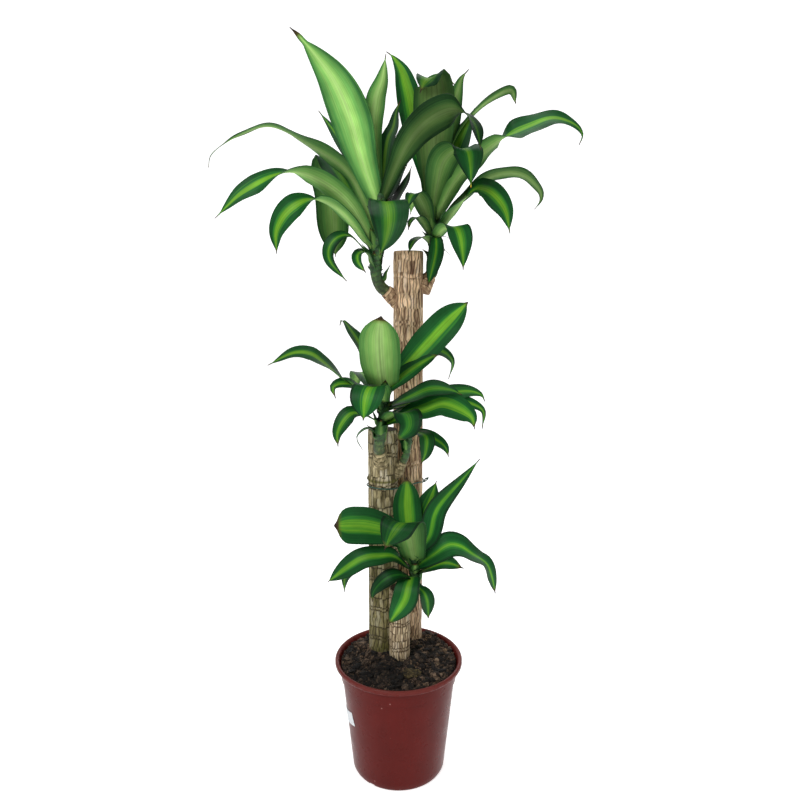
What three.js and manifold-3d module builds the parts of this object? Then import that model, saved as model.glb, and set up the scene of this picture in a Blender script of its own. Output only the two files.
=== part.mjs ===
// Potted corn plant: three bare canes of different heights, five shoots of strap leaves, a dark red
// nursery pot filled with soil, a coated tie wire and a small blank label.
// Millimetres, +Z up, the front toward -Y, the origin at the middle of the pot's foot.
import * as THREE from 'three';
import { mergeVertices } from 'three/addons/utils/BufferGeometryUtils.js';
import Module from 'manifold-3d';

const wasm = await Module();
wasm.setup();

// ---- pot
const POT_HEIGHT = 217;
const RIM_RADIUS = 120;
const RIM_DEPTH = 8;
const NECK_RADIUS = 112;
const LEDGE_Z = 179;
const LEDGE_RADIUS = 108.5;
const WALL_TOP_RADIUS = 106;
const BASE_RADIUS = 87;
const WALL = 2;
const FLOOR_Z = 5;
const FLOOR_THICKNESS = 2.4;
const FOOT_DISC_RADIUS = 31;
const FOOT_RING_INNER = 74;
const FOOT_RING_OUTER = 83;
const POT_SIDES = 40;
const DRAIN_HOLES = 6;
const DRAIN_HOLE_RADIUS = 5;
const DRAIN_HOLE_CIRCLE = 54;
const FOOT_STEP = 3;
const FOOT_ROUND = 1.4;
const LEDGE_STEP = 1.5;
const WALL_DRAFT = 0.6;
const RIM_ROUND = 2.2;
const RIM_CROWN = 3;
const LIP_DROP = 1.6;
const DRAIN_HOLE_SIDES = 8;
const NOTCHES = 3;
const NOTCH_WIDTH = 12;
const NOTCH_DEPTH = 30;
const FIRST_NOTCH_TURN = 235;

// ---- canes: the middle at the bottom and at the top, and the radius
const CANES = {
  tall: { bottom: [18, 57, 80], top: [18, 73, 974], radius: 28, rings: 16, lean: 0.3 },
  mid: { bottom: [-29, 18, 50], top: [-29, 26, 650], radius: 28, rings: 9, lean: 1.7 },
  short: { bottom: [2, -22, 60], top: [2, -18, 361.6], radius: 19.5, rings: 4, lean: 4.1 },
};
const CANE_SIDES = 14;
const RING_GROOVE = 0.8;
const RING_LIP = 3;
const RING_WANDER = 0.22;
const RING_WAVE = 2.4;
const TOP_SPACE = 0.6;
const BARK_UNEVEN = 0.012;
const CUT_CHAMFER = 1.2;
const CUT_EDGE = 0.2;
const SOIL_LINE = 214;

// ---- soil
const SOIL_WALL_Z = 212;
const SOIL_MOUND = 16;
const SOIL_LUMP = 2.2;
const SOIL_SIDES = 32;
const SOIL_RINGS = 6;
const MOUND_TOP = 0.25;
const LUMP_FADE = 0.86;
const EDGE_LUMPS = 0.3;
const LUMPS = { across: 0.115, deep: 0.097, right: 0.7, back: 0.4 };
const SMALL_LUMPS = { across: 0.16, deep: 0.21, share: 0.6 };
const HEAP = { x: 62, y: 66, height: 8, width: 22, depth: 20 };
const SOIL_DIP = 3.5;
const SOIL_EDGE = 4;
const GAP = 0.35;
const HOLE_CLEARANCE = 0.75;

// ---- shoots
const BLADE_THICKNESS = 1;
const BELLY = 0.5;
const ROOT_WIDTH = 0.42;
const TIP_FULLNESS = 2;
const DRIP_START = 0.97;
const DRIP_WIDTH = 2;
const GUTTER = 0.22;
const GUTTER_FADE = 0.6;
const STATION_SPACING = 36;
const FEWEST_STATIONS = 5;
const MOST_STATIONS = 11;
const STEM_SIDES = 8;
const STEM_STATION_SPACING = 20;
const COLLAR_SIDES = 8;
const COLLAR_FLARE = 1.6;

// ---- tie wire
const WIRE_RADIUS = 1.25;
const WIRE_Z = 543;
const WIRE_STEPS = 64;
const WIRE_SIDES = 6;
const WIRE_CLEARANCE = 0.52;
const TWIST_TURN = -26;
const TWIST_LENGTH = 13;
const TWIST_POINTS = 5;
const STRAND_RADIUS = 1.8;
const TWIST_OPENING = 0.16;
const MID_POINTS = 10;
const MID_RISE = 3;

// ---- label
const LABEL_LENGTH = 58;
const LABEL_WIDTH = 25;
const LABEL_TURN = 198;
const LABEL_Z = 114;
const LABEL_TILT = 16;
const LABEL_THICKNESS = 0.4;
const LABEL_COLUMNS = 8;
const LABEL_ROWS = 2;

// A triangle soup or indexed geometry becomes a solid: equal corners are merged, collapsed
// triangles dropped, and the faces turned out.
function solidOf(geometry) {
  geometry.deleteAttribute('normal');
  geometry.deleteAttribute('uv');
  const whole = mergeVertices(geometry, 1e-4);
  const corners = whole.attributes.position.array;
  const kept = [];
  const index = whole.index.array;
  for (let i = 0; i < index.length; i += 3) {
    const [a, b, c] = [index[i], index[i + 1], index[i + 2]];
    if (a !== b && b !== c && c !== a) {
      kept.push([a, b, c]);
    }
  }
  const at = (i) => new THREE.Vector3().fromArray(corners, 3 * i);
  let volume = 0;
  for (const [a, b, c] of kept) {
    volume += at(a).dot(at(b).cross(at(c)));
  }
  const faces = volume > 0 ? kept : kept.map(([a, b, c]) => [a, c, b]);
  return new wasm.Manifold(new wasm.Mesh({
    numProp: 3,
    vertProperties: new Float32Array(corners),
    triVerts: new Uint32Array(faces.flat()),
  }));
}

// The largest body of a solid: sealed hollows are filled and loose scraps dropped.
function largestBody(solid) {
  const bodies = solid.decompose();
  let best = bodies[0];
  for (const body of bodies) {
    if (body.volume() > best.volume()) {
      best = body;
    }
  }
  return best;
}

function geometryOf(solid) {
  const mesh = solid.getMesh();
  const geometry = new THREE.BufferGeometry();
  geometry.setAttribute('position', new THREE.BufferAttribute(new Float32Array(mesh.vertProperties), 3));
  geometry.setIndex(new THREE.BufferAttribute(new Uint32Array(mesh.triVerts), 1));
  geometry.computeVertexNormals();
  return geometry;
}

function indexed(points, triangles) {
  const geometry = new THREE.BufferGeometry();
  const flat = points.flatMap((p) => [p.x, p.y, p.z]);
  geometry.setAttribute('position', new THREE.Float32BufferAttribute(flat, 3));
  geometry.setIndex(triangles.flat());
  return geometry;
}

// A closed skin over a row of rings with equal counts of corners, fanned shut at both ends.
function loft(rings) {
  const count = rings[0].length;
  const points = rings.flat();
  const triangles = [];
  for (let r = 0; r + 1 < rings.length; r += 1) {
    for (let i = 0; i < count; i += 1) {
      const a = r * count + i;
      const b = r * count + (i + 1) % count;
      triangles.push([a, b, b + count], [a, b + count, a + count]);
    }
  }
  const lastFirst = (rings.length - 1) * count;
  for (const [ring, first, flip] of [[rings[0], 0, true], [rings.at(-1), lastFirst, false]]) {
    const middle = new THREE.Vector3();
    ring.forEach((p) => middle.addScaledVector(p, 1 / count));
    points.push(middle);
    for (let i = 0; i < count; i += 1) {
      const a = first + i;
      const b = first + (i + 1) % count;
      triangles.push(flip ? [b, a, points.length - 1] : [a, b, points.length - 1]);
    }
  }
  return solidOf(indexed(points, triangles));
}

function vector([x, y, z]) {
  return new THREE.Vector3(x, y, z);
}

function smoothCurve(points) {
  return new THREE.CatmullRomCurve3(points, false, 'catmullrom', 0.5);
}

// A round tube along a curve, its radius changing evenly from the first to the last.
function taperedTube(curve, firstRadius, lastRadius, sides, stations) {
  const across = new THREE.Vector3(0, 1, 0);
  const rings = [];
  for (let s = 0; s <= stations; s += 1) {
    const middle = curve.getPointAt(s / stations);
    const along = curve.getTangentAt(s / stations);
    const a = along.clone().cross(across).normalize();
    const b = along.clone().cross(a);
    const radius = THREE.MathUtils.lerp(firstRadius, lastRadius, s / stations);
    const ring = [];
    for (let i = 0; i < sides; i += 1) {
      const turn = 2 * Math.PI * i / sides;
      ring.push(middle.clone()
        .addScaledVector(a, radius * Math.cos(turn))
        .addScaledVector(b, radius * Math.sin(turn)));
    }
    rings.push(ring);
  }
  return loft(rings);
}

// ---- the pot: one moulding, with drain holes through its floor and notches through its foot ring
function wallRadius(z) {
  return THREE.MathUtils.lerp(BASE_RADIUS, WALL_TOP_RADIUS, z / LEDGE_Z);
}

function potSolid() {
  const inside = FLOOR_Z + FLOOR_THICKNESS;
  const neck = POT_HEIGHT - RIM_DEPTH;
  const profile = [
    [0, 0],
    [FOOT_DISC_RADIUS, 0],
    [FOOT_DISC_RADIUS + FOOT_STEP, FLOOR_Z],
    [FOOT_RING_INNER - FOOT_STEP, FLOOR_Z],
    [FOOT_RING_INNER, 0],
    [FOOT_RING_OUTER, 0],
    [BASE_RADIUS - FOOT_ROUND, FOOT_ROUND],
    [wallRadius(FLOOR_Z), FLOOR_Z],
    [WALL_TOP_RADIUS, LEDGE_Z],
    [LEDGE_RADIUS, LEDGE_Z + LEDGE_STEP],
    [NECK_RADIUS, neck],
    [RIM_RADIUS - RIM_ROUND / 2, neck - WALL_DRAFT],
    [RIM_RADIUS, neck + RIM_ROUND / 2],
    [RIM_RADIUS, POT_HEIGHT - RIM_ROUND],
    [RIM_RADIUS - RIM_ROUND / 2, POT_HEIGHT - RIM_ROUND / 4],
    [RIM_RADIUS - RIM_CROWN, POT_HEIGHT],
    [NECK_RADIUS + LEDGE_STEP, POT_HEIGHT - LIP_DROP],
    [NECK_RADIUS - WALL, neck - LIP_DROP],
    [LEDGE_RADIUS - WALL, LEDGE_Z + LEDGE_STEP + 1],
    [WALL_TOP_RADIUS - WALL, LEDGE_Z + 1],
    [wallRadius(inside) - WALL, inside],
    [0, inside],
  ];
  const turned = new THREE.LatheGeometry(profile.map(([r, z]) => new THREE.Vector2(r, z)), POT_SIDES);
  turned.rotateX(Math.PI / 2);
  let pot = solidOf(turned);
  for (let i = 0; i < DRAIN_HOLES; i += 1) {
    const turn = 2 * Math.PI * i / DRAIN_HOLES;
    const across = DRAIN_HOLE_RADIUS;
    const hole = new THREE.CylinderGeometry(across, across, 4 * FLOOR_Z, DRAIN_HOLE_SIDES);
    hole.rotateX(Math.PI / 2);
    hole.translate(DRAIN_HOLE_CIRCLE * Math.cos(turn), DRAIN_HOLE_CIRCLE * Math.sin(turn), FLOOR_Z);
    pot = pot.subtract(solidOf(hole));
  }
  for (let i = 0; i < NOTCHES; i += 1) {
    const notch = new THREE.BoxGeometry(NOTCH_DEPTH, NOTCH_WIDTH, 2 * (FLOOR_Z - WALL_DRAFT));
    notch.translate(BASE_RADIUS - FOOT_STEP, 0, 0);
    notch.rotateZ(THREE.MathUtils.degToRad(FIRST_NOTCH_TURN + 360 * i / NOTCHES));
    pot = pot.subtract(solidOf(notch));
  }
  return pot;
}

// ---- canes: straight wood with shallow growth rings, a cut top and a woody collar under each shoot
function caneMiddle(cane, z) {
  const share = (z - cane.bottom[2]) / (cane.top[2] - cane.bottom[2]);
  return vector(cane.bottom).lerp(vector(cane.top), share);
}

function caneRing(cane, z, radius) {
  const middle = caneMiddle(cane, z);
  const ring = [];
  for (let i = 0; i < CANE_SIDES; i += 1) {
    const turn = 2 * Math.PI * i / CANE_SIDES;
    const uneven = 1 + BARK_UNEVEN * (Math.cos(2 * turn + cane.lean) - 1) / 2;
    ring.push(new THREE.Vector3(
      middle.x + radius * uneven * Math.cos(turn),
      middle.y + radius * uneven * Math.sin(turn),
      z,
    ));
  }
  return ring;
}

function ringHeights(cane) {
  const spacing = (cane.top[2] - SOIL_LINE) / (cane.rings + TOP_SPACE);
  const heights = [];
  for (let i = 1; i <= cane.rings; i += 1) {
    heights.push(SOIL_LINE + spacing * (i + RING_WANDER * Math.sin(RING_WAVE * i + cane.lean)));
  }
  return heights;
}

function caneSolid(cane, collars) {
  const rings = [caneRing(cane, cane.bottom[2], cane.radius), caneRing(cane, SOIL_LINE, cane.radius)];
  for (const z of ringHeights(cane)) {
    rings.push(caneRing(cane, z, cane.radius - RING_GROOVE));
    rings.push(caneRing(cane, z + RING_LIP, cane.radius));
  }
  rings.push(caneRing(cane, cane.top[2] - CUT_CHAMFER, cane.radius - CUT_EDGE));
  rings.push(caneRing(cane, cane.top[2], cane.radius - CUT_CHAMFER));
  let wood = loft(rings);
  for (const collar of collars) {
    wood = wood.add(collar);
  }
  return largestBody(wood);
}

// A collar runs from inside the cane to just short of the shoot's lower end, in line with it.
function collarSolid(shoot) {
  const stem = smoothCurve(shoot.stem.map(vector));
  const start = stem.getPointAt(0);
  const along = stem.getTangentAt(0);
  const inner = start.clone().addScaledVector(along, -shoot.collar);
  const outer = start.clone().addScaledVector(along, -GAP);
  const line = new THREE.LineCurve3(inner, outer);
  return taperedTube(line, shoot.radii[0] + 3 * COLLAR_FLARE, shoot.radii[0] + COLLAR_FLARE, COLLAR_SIDES, 2);
}

// ---- soil: one filling with a plain hole for each cane, mounded and lumpy on top
function soilHeight(x, y) {
  const reach = Math.hypot(x, y) / NECK_RADIUS;
  const mound = SOIL_MOUND * (1 - THREE.MathUtils.smoothstep(reach, MOUND_TOP, 1));
  const fade = 1 - THREE.MathUtils.smoothstep(reach, LUMP_FADE, 1);
  const broad = Math.sin(LUMPS.across * x + LUMPS.right) * Math.cos(LUMPS.deep * y - LUMPS.back);
  const small = SMALL_LUMPS.share * Math.sin(SMALL_LUMPS.deep * y + SMALL_LUMPS.across * x);
  const rough = SOIL_LUMP * (broad + small) * THREE.MathUtils.lerp(EDGE_LUMPS, 1, fade);
  const away = ((x - HEAP.x) / HEAP.width) ** 2 + ((y - HEAP.y) / HEAP.depth) ** 2;
  const heap = HEAP.height * Math.exp(-away);
  return SOIL_WALL_Z + mound + rough + heap;
}

function circle(radius, height) {
  const ring = [];
  for (let i = 0; i < SOIL_SIDES; i += 1) {
    const turn = 2 * Math.PI * i / SOIL_SIDES;
    const [x, y] = [radius * Math.cos(turn), radius * Math.sin(turn)];
    ring.push(new THREE.Vector3(x, y, height(x, y)));
  }
  return ring;
}

function soilSolid() {
  const inside = FLOOR_Z + FLOOR_THICKNESS + GAP;
  const slack = WALL + 2 * GAP;
  const rings = [
    circle(FOOT_DISC_RADIUS, () => inside),
    circle(wallRadius(inside) - slack, () => inside),
    circle(WALL_TOP_RADIUS - slack, () => LEDGE_Z + 1),
    circle(LEDGE_RADIUS - slack, () => LEDGE_Z + 2 * LEDGE_STEP),
    circle(NECK_RADIUS - slack - WALL_DRAFT, () => SOIL_WALL_Z - SOIL_DIP),
  ];
  const step = (NECK_RADIUS - slack - SOIL_EDGE) / SOIL_RINGS;
  for (let i = SOIL_RINGS; i >= 1; i -= 1) {
    rings.push(circle(i * step, soilHeight));
  }
  let soil = loft(rings);
  for (const cane of Object.values(CANES)) {
    const low = cane.bottom[2] - GAP;
    const high = 2 * POT_HEIGHT;
    soil = soil.subtract(loft([
      caneRing(cane, low, cane.radius + HOLE_CLEARANCE),
      caneRing(cane, high, cane.radius + HOLE_CLEARANCE),
    ]));
  }
  return largestBody(soil);
}

// ---- leaves
// A blade follows a smooth route from its place on the stem. `turn` is the heading it first grows in
// (0 = right, 90 = back), `roll` how far it is twisted about its own run, root to tip. It widens from
// `root` to its belly and narrows, the later the greater `tip` is, to a thin drip tip from `drip` on.
function bladeWidth(t, wide, { belly = BELLY, root = ROOT_WIDTH, tip = TIP_FULLNESS, drip = DRIP_START }) {
  const grown = THREE.MathUtils.smoothstep(t / belly, 0, 1);
  const past = THREE.MathUtils.clamp((t - belly) / (drip - belly), 0, 1);
  return Math.max(DRIP_WIDTH, wide * (root + (1 - root) * grown) * (1 - past ** tip));
}

function rollAt(t, roll) {
  const place = t * (roll.length - 1);
  const low = Math.min(Math.floor(place), roll.length - 2);
  return THREE.MathUtils.degToRad(THREE.MathUtils.lerp(roll[low], roll[low + 1], place - low));
}

function bladeSolid(stem, [, at, turn, wide, route, shape = {}]) {
  const start = stem.getPointAt(at);
  const curve = smoothCurve([start, ...route.map((offset) => vector(offset).add(start))]);
  const wanted = Math.round(curve.getLength() / STATION_SPACING) + 2;
  const stations = THREE.MathUtils.clamp(wanted, FEWEST_STATIONS, MOST_STATIONS);
  const heading = THREE.MathUtils.degToRad(turn);
  const side = new THREE.Vector3(-Math.sin(heading), Math.cos(heading), 0);
  const gutter = shape.gutter ?? GUTTER;
  const points = [];
  for (let s = 0; s < stations; s += 1) {
    const t = s / (stations - 1);
    const middle = curve.getPointAt(t);
    const along = curve.getTangentAt(t);
    const flat = side.clone().addScaledVector(along, -side.dot(along)).normalize();
    const up = along.clone().cross(flat);
    const roll = rollAt(t, shape.roll ?? [0, 0]);
    const across = flat.clone().multiplyScalar(Math.cos(roll)).addScaledVector(up, Math.sin(roll));
    const face = up.clone().multiplyScalar(Math.cos(roll)).addScaledVector(flat, -Math.sin(roll));
    const half = bladeWidth(t, wide, shape) / 2;
    const rise = gutter * (1 - GUTTER_FADE * t) * half;
    for (const lift of [BLADE_THICKNESS / 2, -BLADE_THICKNESS / 2]) {
      for (const place of [-1, 0, 1]) {
        points.push(middle.clone()
          .addScaledVector(across, half * place)
          .addScaledVector(face, rise * Math.abs(place) + lift));
      }
    }
  }
  const triangles = [];
  const quad = (a, b, c, d) => triangles.push([a, b, c], [a, c, d]);
  for (let s = 0; s + 1 < stations; s += 1) {
    const [u, n] = [6 * s, 6 * (s + 1)];
    for (let j = 0; j < 2; j += 1) {
      triangles.push([u + j, n + j + 1, u + j + 1], [u + j, n + j, n + j + 1]);
      triangles.push([u + 3 + j, u + 4 + j, n + 4 + j], [u + 3 + j, n + 4 + j, n + 3 + j]);
    }
    quad(u, u + 3, n + 3, n);
    quad(u + 2, n + 2, n + 5, u + 5);
  }
  const last = 6 * (stations - 1);
  for (let j = 0; j < 2; j += 1) {
    quad(j, j + 1, j + 4, j + 3);
    quad(last + j, last + j + 3, last + j + 4, last + j + 1);
  }
  return solidOf(indexed(points, triangles));
}

function shootSolid(shoot) {
  const stem = smoothCurve(shoot.stem.map(vector));
  const stations = Math.round(stem.getLength() / STEM_STATION_SPACING);
  let plant = taperedTube(stem, shoot.radii[0], shoot.radii[1], STEM_SIDES, stations);
  for (const leaf of shoot.leaves) {
    plant = plant.add(bladeSolid(stem, leaf));
  }
  return largestBody(plant);
}

// A leaf is [its place in words, the share of the stem's length where it starts, its heading,
// its greatest width, its route as steps right, back and up from its start, its shape].
const SHOOTS = {
  top_left: {
    cane: 'tall',
    collar: 32,
    stem: [[-24, 64, 902], [-33, 60, 910], [-40, 54, 927], [-42, 48, 950], [-39, 42, 990], [-33, 38, 1030],
      [-31, 36, 1075]],
    radii: [11, 8],
    leaves: [
      ['tallest, leaning left', 0.80, 265, 70,
        [[-30, -20, 85], [-50, -30, 155], [-80, -30, 218], [-130, -30, 278], [-150, -25, 298]],
        { drip: 0.92, tip: 1.8 }],
      ['long arch left', 0.50, 178, 54,
        [[-25, 3, 78], [-55, 7, 129], [-120, 12, 172], [-185, 12, 203], [-240, 12, 190], [-290, 12, 160],
          [-300, 12, 133]], { drip: 0.9, roll: [40, 45, 26, -2, -8, -8] }],
      ['second arch left', 0.42, 195, 48,
        [[-40, -18, 74], [-95, -25, 118], [-155, -26, 133], [-227, -26, 103], [-281, -26, 56]],
        { tip: 2.4, roll: [40, 65, 20, -65, -75] }],
      ['third arch left', 0.38, 205, 47,
        [[-55, -22, 70], [-104, -34, 94], [-147, -36, 77], [-171, -36, 42], [-172, -36, 2]],
        { tip: 2.8, drip: 0.985, roll: [0, 10, 10, 0, -60, -78, -78] }],
      ['hanging behind left', 0.40, 110, 64,
        [[-45, 35, 105], [-84, 58, 172], [-91, 68, 150], [-84, 70, 105], [-79, 70, 0]],
        { belly: 0.7, tip: 5, drip: 0.985 }],
      ['short drooping left', 0.30, 215, 25,
        [[-38, -28, 44], [-62, -36, 46], [-79, -38, 28], [-78, -38, 3], [-49, -40, -31]],
        { roll: [0, -40, -50] }],
      ['broad, hanging in front', 0.75, 270, 68,
        [[6, -30, 18], [13, -60, 18], [18, -88, -10], [14, -98, -42], [2, -100, -72]]],
      ['arch to the right', 0.85, 290, 56,
        [[24, -18, 58], [53, -36, 107], [88, -46, 138], [128, -52, 150], [157, -56, 128], [169, -60, 84]],
        { belly: 0.58, root: 0.32, tip: 4, drip: 0.98, roll: [0, 0, -15, -35, -30] }],
      ['upright', 0.90, 280, 36, [[-13, 2, 110], [-8, 0, 170], [3, 0, 205], [10, 0, 246]],
        { belly: 0.62 }],
      ['upright behind', 0.90, 80, 28, [[10, 20, 100], [22, 23, 132], [27, 24, 157], [35, 24, 178]]],
      ['leaning left behind', 0.80, 120, 35, [[-30, 25, 60], [-70, 40, 128], [-112, 45, 184]]],
      ['small, low on the left', 0.20, 200, 32,
        [[-16, -22, 36], [-30, -30, 35], [-30, -32, 20], [-17, -34, 2]], { tip: 2.4, roll: [0, -30] }],
      ['dark, behind on the right', 0.60, 40, 38, [[10, 18, 50], [31, 27, 90], [53, 32, 125]]],
      ['dark, low behind on the right', 0.55, 30, 40, [[24, 10, 50], [48, 15, 92], [62, 17, 128]]],
      ['arching to the back right', 0.60, 80, 38, [[8, 55, 66], [18, 110, 76], [24, 140, 60], [26, 152, 38]]],
      ['arching to the back', 0.45, 92, 50, [[-5, 60, 62], [0, 120, 80], [5, 170, 50], [8, 195, 12]]],
    ],
  },
  top_right: {
    cane: 'tall',
    collar: 32,
    stem: [[58, 77, 930], [63, 80, 940], [66, 84, 968], [64, 86, 1005], [61, 86, 1040], [60, 86, 1085]],
    radii: [11, 8],
    leaves: [
      ['broad, folded forward at its tip', 0.75, 270, 74,
        [[1, -20, 110], [2, -26, 180], [-1, -32, 219], [-14, -42, 217], [-24, -46, 194]],
        { belly: 0.6, tip: 4, gutter: 0.1 }],
      ['upright, leaning left', 0.90, 95, 46,
        [[-27, -4, 100], [-41, -6, 170], [-48, -6, 198], [-56, -6, 222], [-70, -6, 243], [-82, -6, 252]],
        { belly: 0.6, drip: 0.97 }],
      ['behind, bent over to the right', 0.90, 0, 44,
        [[-8, 12, 110], [-10, 16, 170], [-3, 18, 201], [14, 18, 215], [32, 18, 212], [43, 18, 203]],
        { tip: 2.4, roll: [-90, -90] }],
      ['narrow upright', 0.90, 290, 34, [[20, 2, 70], [37, 4, 138], [45, 4, 183], [53, 4, 210], [66, 4, 226]],
        { belly: 0.6 }],
      ['narrow, to the right behind', 0.85, 355, 24,
        [[40, 8, 108], [82, 14, 166], [140, 16, 202], [154, 16, 178]],
        { belly: 0.86, tip: 3, drip: 0.99, roll: [-5, -5, -30] }],
      ['long arch right', 0.60, 345, 52,
        [[40, -28, 74], [80, -45, 112], [126, -52, 145], [166, -53, 163], [204, -53, 175], [240, -53, 166],
          [257, -53, 148], [252, -53, 130]], { roll: [-60, -60, -55, -40, -28, -8, 58, 60, 55, 50, 50] }],
      ['upright right, behind', 0.80, 70, 48, [[20, 8, 50], [42, 14, 100], [62, 14, 142], [78, 14, 178]]],
      ['broad, hanging in front', 0.65, 278, 62,
        [[7, -31, 58], [16, -56, 94], [35, -81, 108], [53, -96, 104], [58, -104, 78], [60, -106, 42]],
        { belly: 0.62 }],
      ['second arch right', 0.50, 350, 38,
        [[45, -22, 52], [90, -36, 90], [129, -38, 101], [160, -38, 96], [186, -38, 74], [190, -38, 56],
          [179, -38, 39]], { belly: 0.6, tip: 3, drip: 0.985, roll: [-20, -20, -20] }],
      ['drooping right, in front', 0.42, 330, 54,
        [[25, -30, 35], [63, -60, 78], [82, -65, 82], [103, -66, 70], [122, -66, 44], [131, -66, 6]],
        { tip: 2.2, roll: [0, 0, 30, 55, 60] }],
      ['low, hanging in front', 0.40, 290, 49,
        [[15, -35, 20], [34, -60, 22], [43, -66, 5], [48, -68, -30], [49, -68, -53]]],
      ['short, front left', 0.50, 240, 38, [[-24, -30, 56], [-39, -45, 64], [-51, -52, 35]]],
      ['smaller, front left', 0.40, 230, 24, [[-25, -25, 40], [-42, -35, 36], [-48, -40, 18]]],
      ['hanging over the cane', 0.32, 215, 34, [[-18, -22, 20], [-37, -40, 12], [-48, -48, -10]]],
      ['small, hanging by the cane', 0.35, 290, 32, [[2, -22, 14], [1, -30, -15], [-12, -30, -72]]],
      ['arching to the back left', 0.62, 115, 40, [[-15, 60, 55], [-30, 112, 65], [-38, 150, 35]]],
      ['hanging at the back', 0.45, 90, 50, [[5, 60, 60], [10, 120, 72], [14, 168, 45], [16, 184, 8]]],
    ],
  },
  mid_left: {
    cane: 'mid',
    collar: 34,
    stem: [[-34, -14, 617], [-35, -20, 627], [-32, -24, 650], [-27, -24, 690], [-24, -22, 730],
      [-22, -20, 750]],
    radii: [10, 7],
    leaves: [
      ['broad upright', 0.80, 270, 70, [[-5, -25, 40], [-8, -45, 92], [-6, -56, 125], [-4, -62, 136]],
        { root: 0.75, tip: 4, drip: 0.985 }],
      ['upright, leaning left', 0.80, 150, 44,
        [[-20, 10, 38], [-42, 26, 80], [-60, 30, 109], [-75, 32, 127], [-80, 32, 117]]],
      ['long arch left', 0.60, 185, 44,
        [[-35, -3, 22], [-67, -4, 48], [-107, -4, 84], [-130, -4, 98], [-160, -4, 97], [-201, -4, 77]],
        { tip: 2.2, roll: [30, 10, -32, -38] }],
      ['short drooping left', 0.50, 200, 35, [[-44, -12, 52], [-66, -20, 61], [-84, -25, 55], [-80, -28, 36]],
        { roll: [0, -20, -40] }],
      ['broad, hanging in front', 0.60, 262, 59,
        [[-8, -20, 33], [-20, -38, 43], [-28, -52, 26], [-33, -58, -11]],
        { tip: 2.4, belly: 0.6 }],
      ['low, drooping left', 0.40, 215, 34,
        [[-37, -12, 20], [-58, -16, 18], [-76, -20, -10], [-76, -20, -37]],
        { roll: [0, -30, -40] }],
      ['broad, leaning right', 0.85, 90, 56, [[20, 3, 25], [64, 12, 70], [108, 15, 117], [145, 15, 152]],
        { belly: 0.55, root: 0.32, tip: 4, drip: 0.99 }],
      ['under the broad one', 0.80, 60, 36, [[34, -5, 32], [80, 0, 62], [97, 2, 68]], { tip: 2.4 }],
      ['narrow, bent down at the right', 0.80, 20, 34,
        [[45, 22, 56], [90, 30, 74], [121, 42, 54], [115, 42, 20]],
        { roll: [0, 40, 50] }],
      ['dark, to the right', 0.60, 330, 44, [[47, -18, 23], [81, -25, 38], [115, -28, 37], [135, -30, 29]],
        { roll: [20, 40, 40] }],
      ['long, to the right behind', 0.55, 10, 36, [[60, 15, 18], [138, 24, 34], [172, 24, 30], [182, 22, 16]],
        { tip: 2.6, roll: [0, 30, 70] }],
      ['to the right in front', 0.35, 335, 48,
        [[35, -18, 22], [76, -26, 37], [110, -28, 47], [152, -28, 27], [162, -28, 2]],
        { tip: 3.4, drip: 0.97, roll: [20, 55, 60] }],
      ['narrow, to the right', 0.45, 5, 30, [[50, 8, 25], [121, 14, 34], [176, 14, 18], [178, 12, -18]],
        { roll: [0, 40, 60] }],
      ['folded down in front', 0.40, 285, 50, [[22, -20, 20], [42, -38, 24], [46, -52, 3], [24, -58, -20]]],
      ['dark, behind on the right', 0.35, 350, 32, [[30, 5, 12], [60, 8, 26], [88, 8, 18]],
        { roll: [0, 40] }],
      ['dried curl on the left', 0.20, 190, 14,
        [[-16, -5, 18], [-28, -8, 18], [-40, -10, 4], [-30, -12, -18]]],
      ['hanging at the back', 0.55, 120, 40, [[-25, 40, 48], [-45, 90, 62], [-55, 130, 40], [-58, 145, 5]]],
    ],
  },
  mid_right: {
    cane: 'mid',
    collar: 30,
    stem: [[8, 12, 592], [13, 8, 603], [17, 4, 622], [20, 0, 645]],
    radii: [7, 5],
    leaves: [
      ['hanging in front', 0.95, 300, 34, [[6, -8, 8], [28, -20, 3], [28, -26, -24], [20, -28, -45]]],
      ['to the right', 0.85, 340, 26, [[20, 8, 10], [50, 6, -4], [66, 4, -17], [72, 2, -34]],
        { roll: [0, 40, 50] }],
    ],
  },
  low: {
    cane: 'short',
    collar: 38,
    stem: [[28, -21, 366], [31, -22, 376], [30, -22, 392], [28, -22, 412], [27, -22, 437]],
    radii: [10, 7],
    leaves: [
      ['upright behind', 0.90, 90, 52, [[-8, 12, 40], [-12, 20, 80], [-12, 24, 110], [-13, 24, 136]],
        { tip: 3, drip: 0.98 }],
      ['upright, back right', 0.80, 80, 44, [[8, 14, 32], [19, 22, 68], [31, 26, 100], [42, 26, 135]],
        { belly: 0.6 }],
      ['long, leaning right', 0.70, 80, 41,
        [[13, 4, 22], [29, 8, 44], [38, 12, 82], [52, 13, 107], [89, 13, 150], [119, 13, 187]],
        { belly: 0.35, tip: 1.5 }],
      ['broad, folded forward', 0.55, 262, 70,
        [[-6, -22, 42], [-14, -42, 84], [-21, -56, 101], [-32, -68, 98], [-44, -73, 80], [-53, -74, 59]],
        { belly: 0.62, root: 0.6, tip: 2.2, gutter: 0.1 }],
      ['broad, to the left', 0.75, 180, 66,
        [[-20, 0, 30], [-48, -8, 55], [-84, -18, 68], [-118, -26, 72], [-142, -28, 72]],
        { belly: 0.72, root: 0.4, tip: 5, drip: 0.985, roll: [0, -35, -60, -72, -75] }],
      ['long, to the right', 0.50, 350, 50,
        [[37, -4, 28], [61, -4, 44], [83, -4, 42], [104, -4, 28], [130, -4, 10], [141, -4, -16],
          [148, -4, -48]],
        { belly: 0.38, root: 0.5, tip: 3.4, drip: 0.985, roll: [40, 60, 55, 22, 0, 32, 40] }],
      ['short, to the right', 0.30, 330, 34, [[30, -15, 23], [56, -22, 33], [86, -26, 24]],
        { roll: [0, 30, 50] }],
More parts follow.
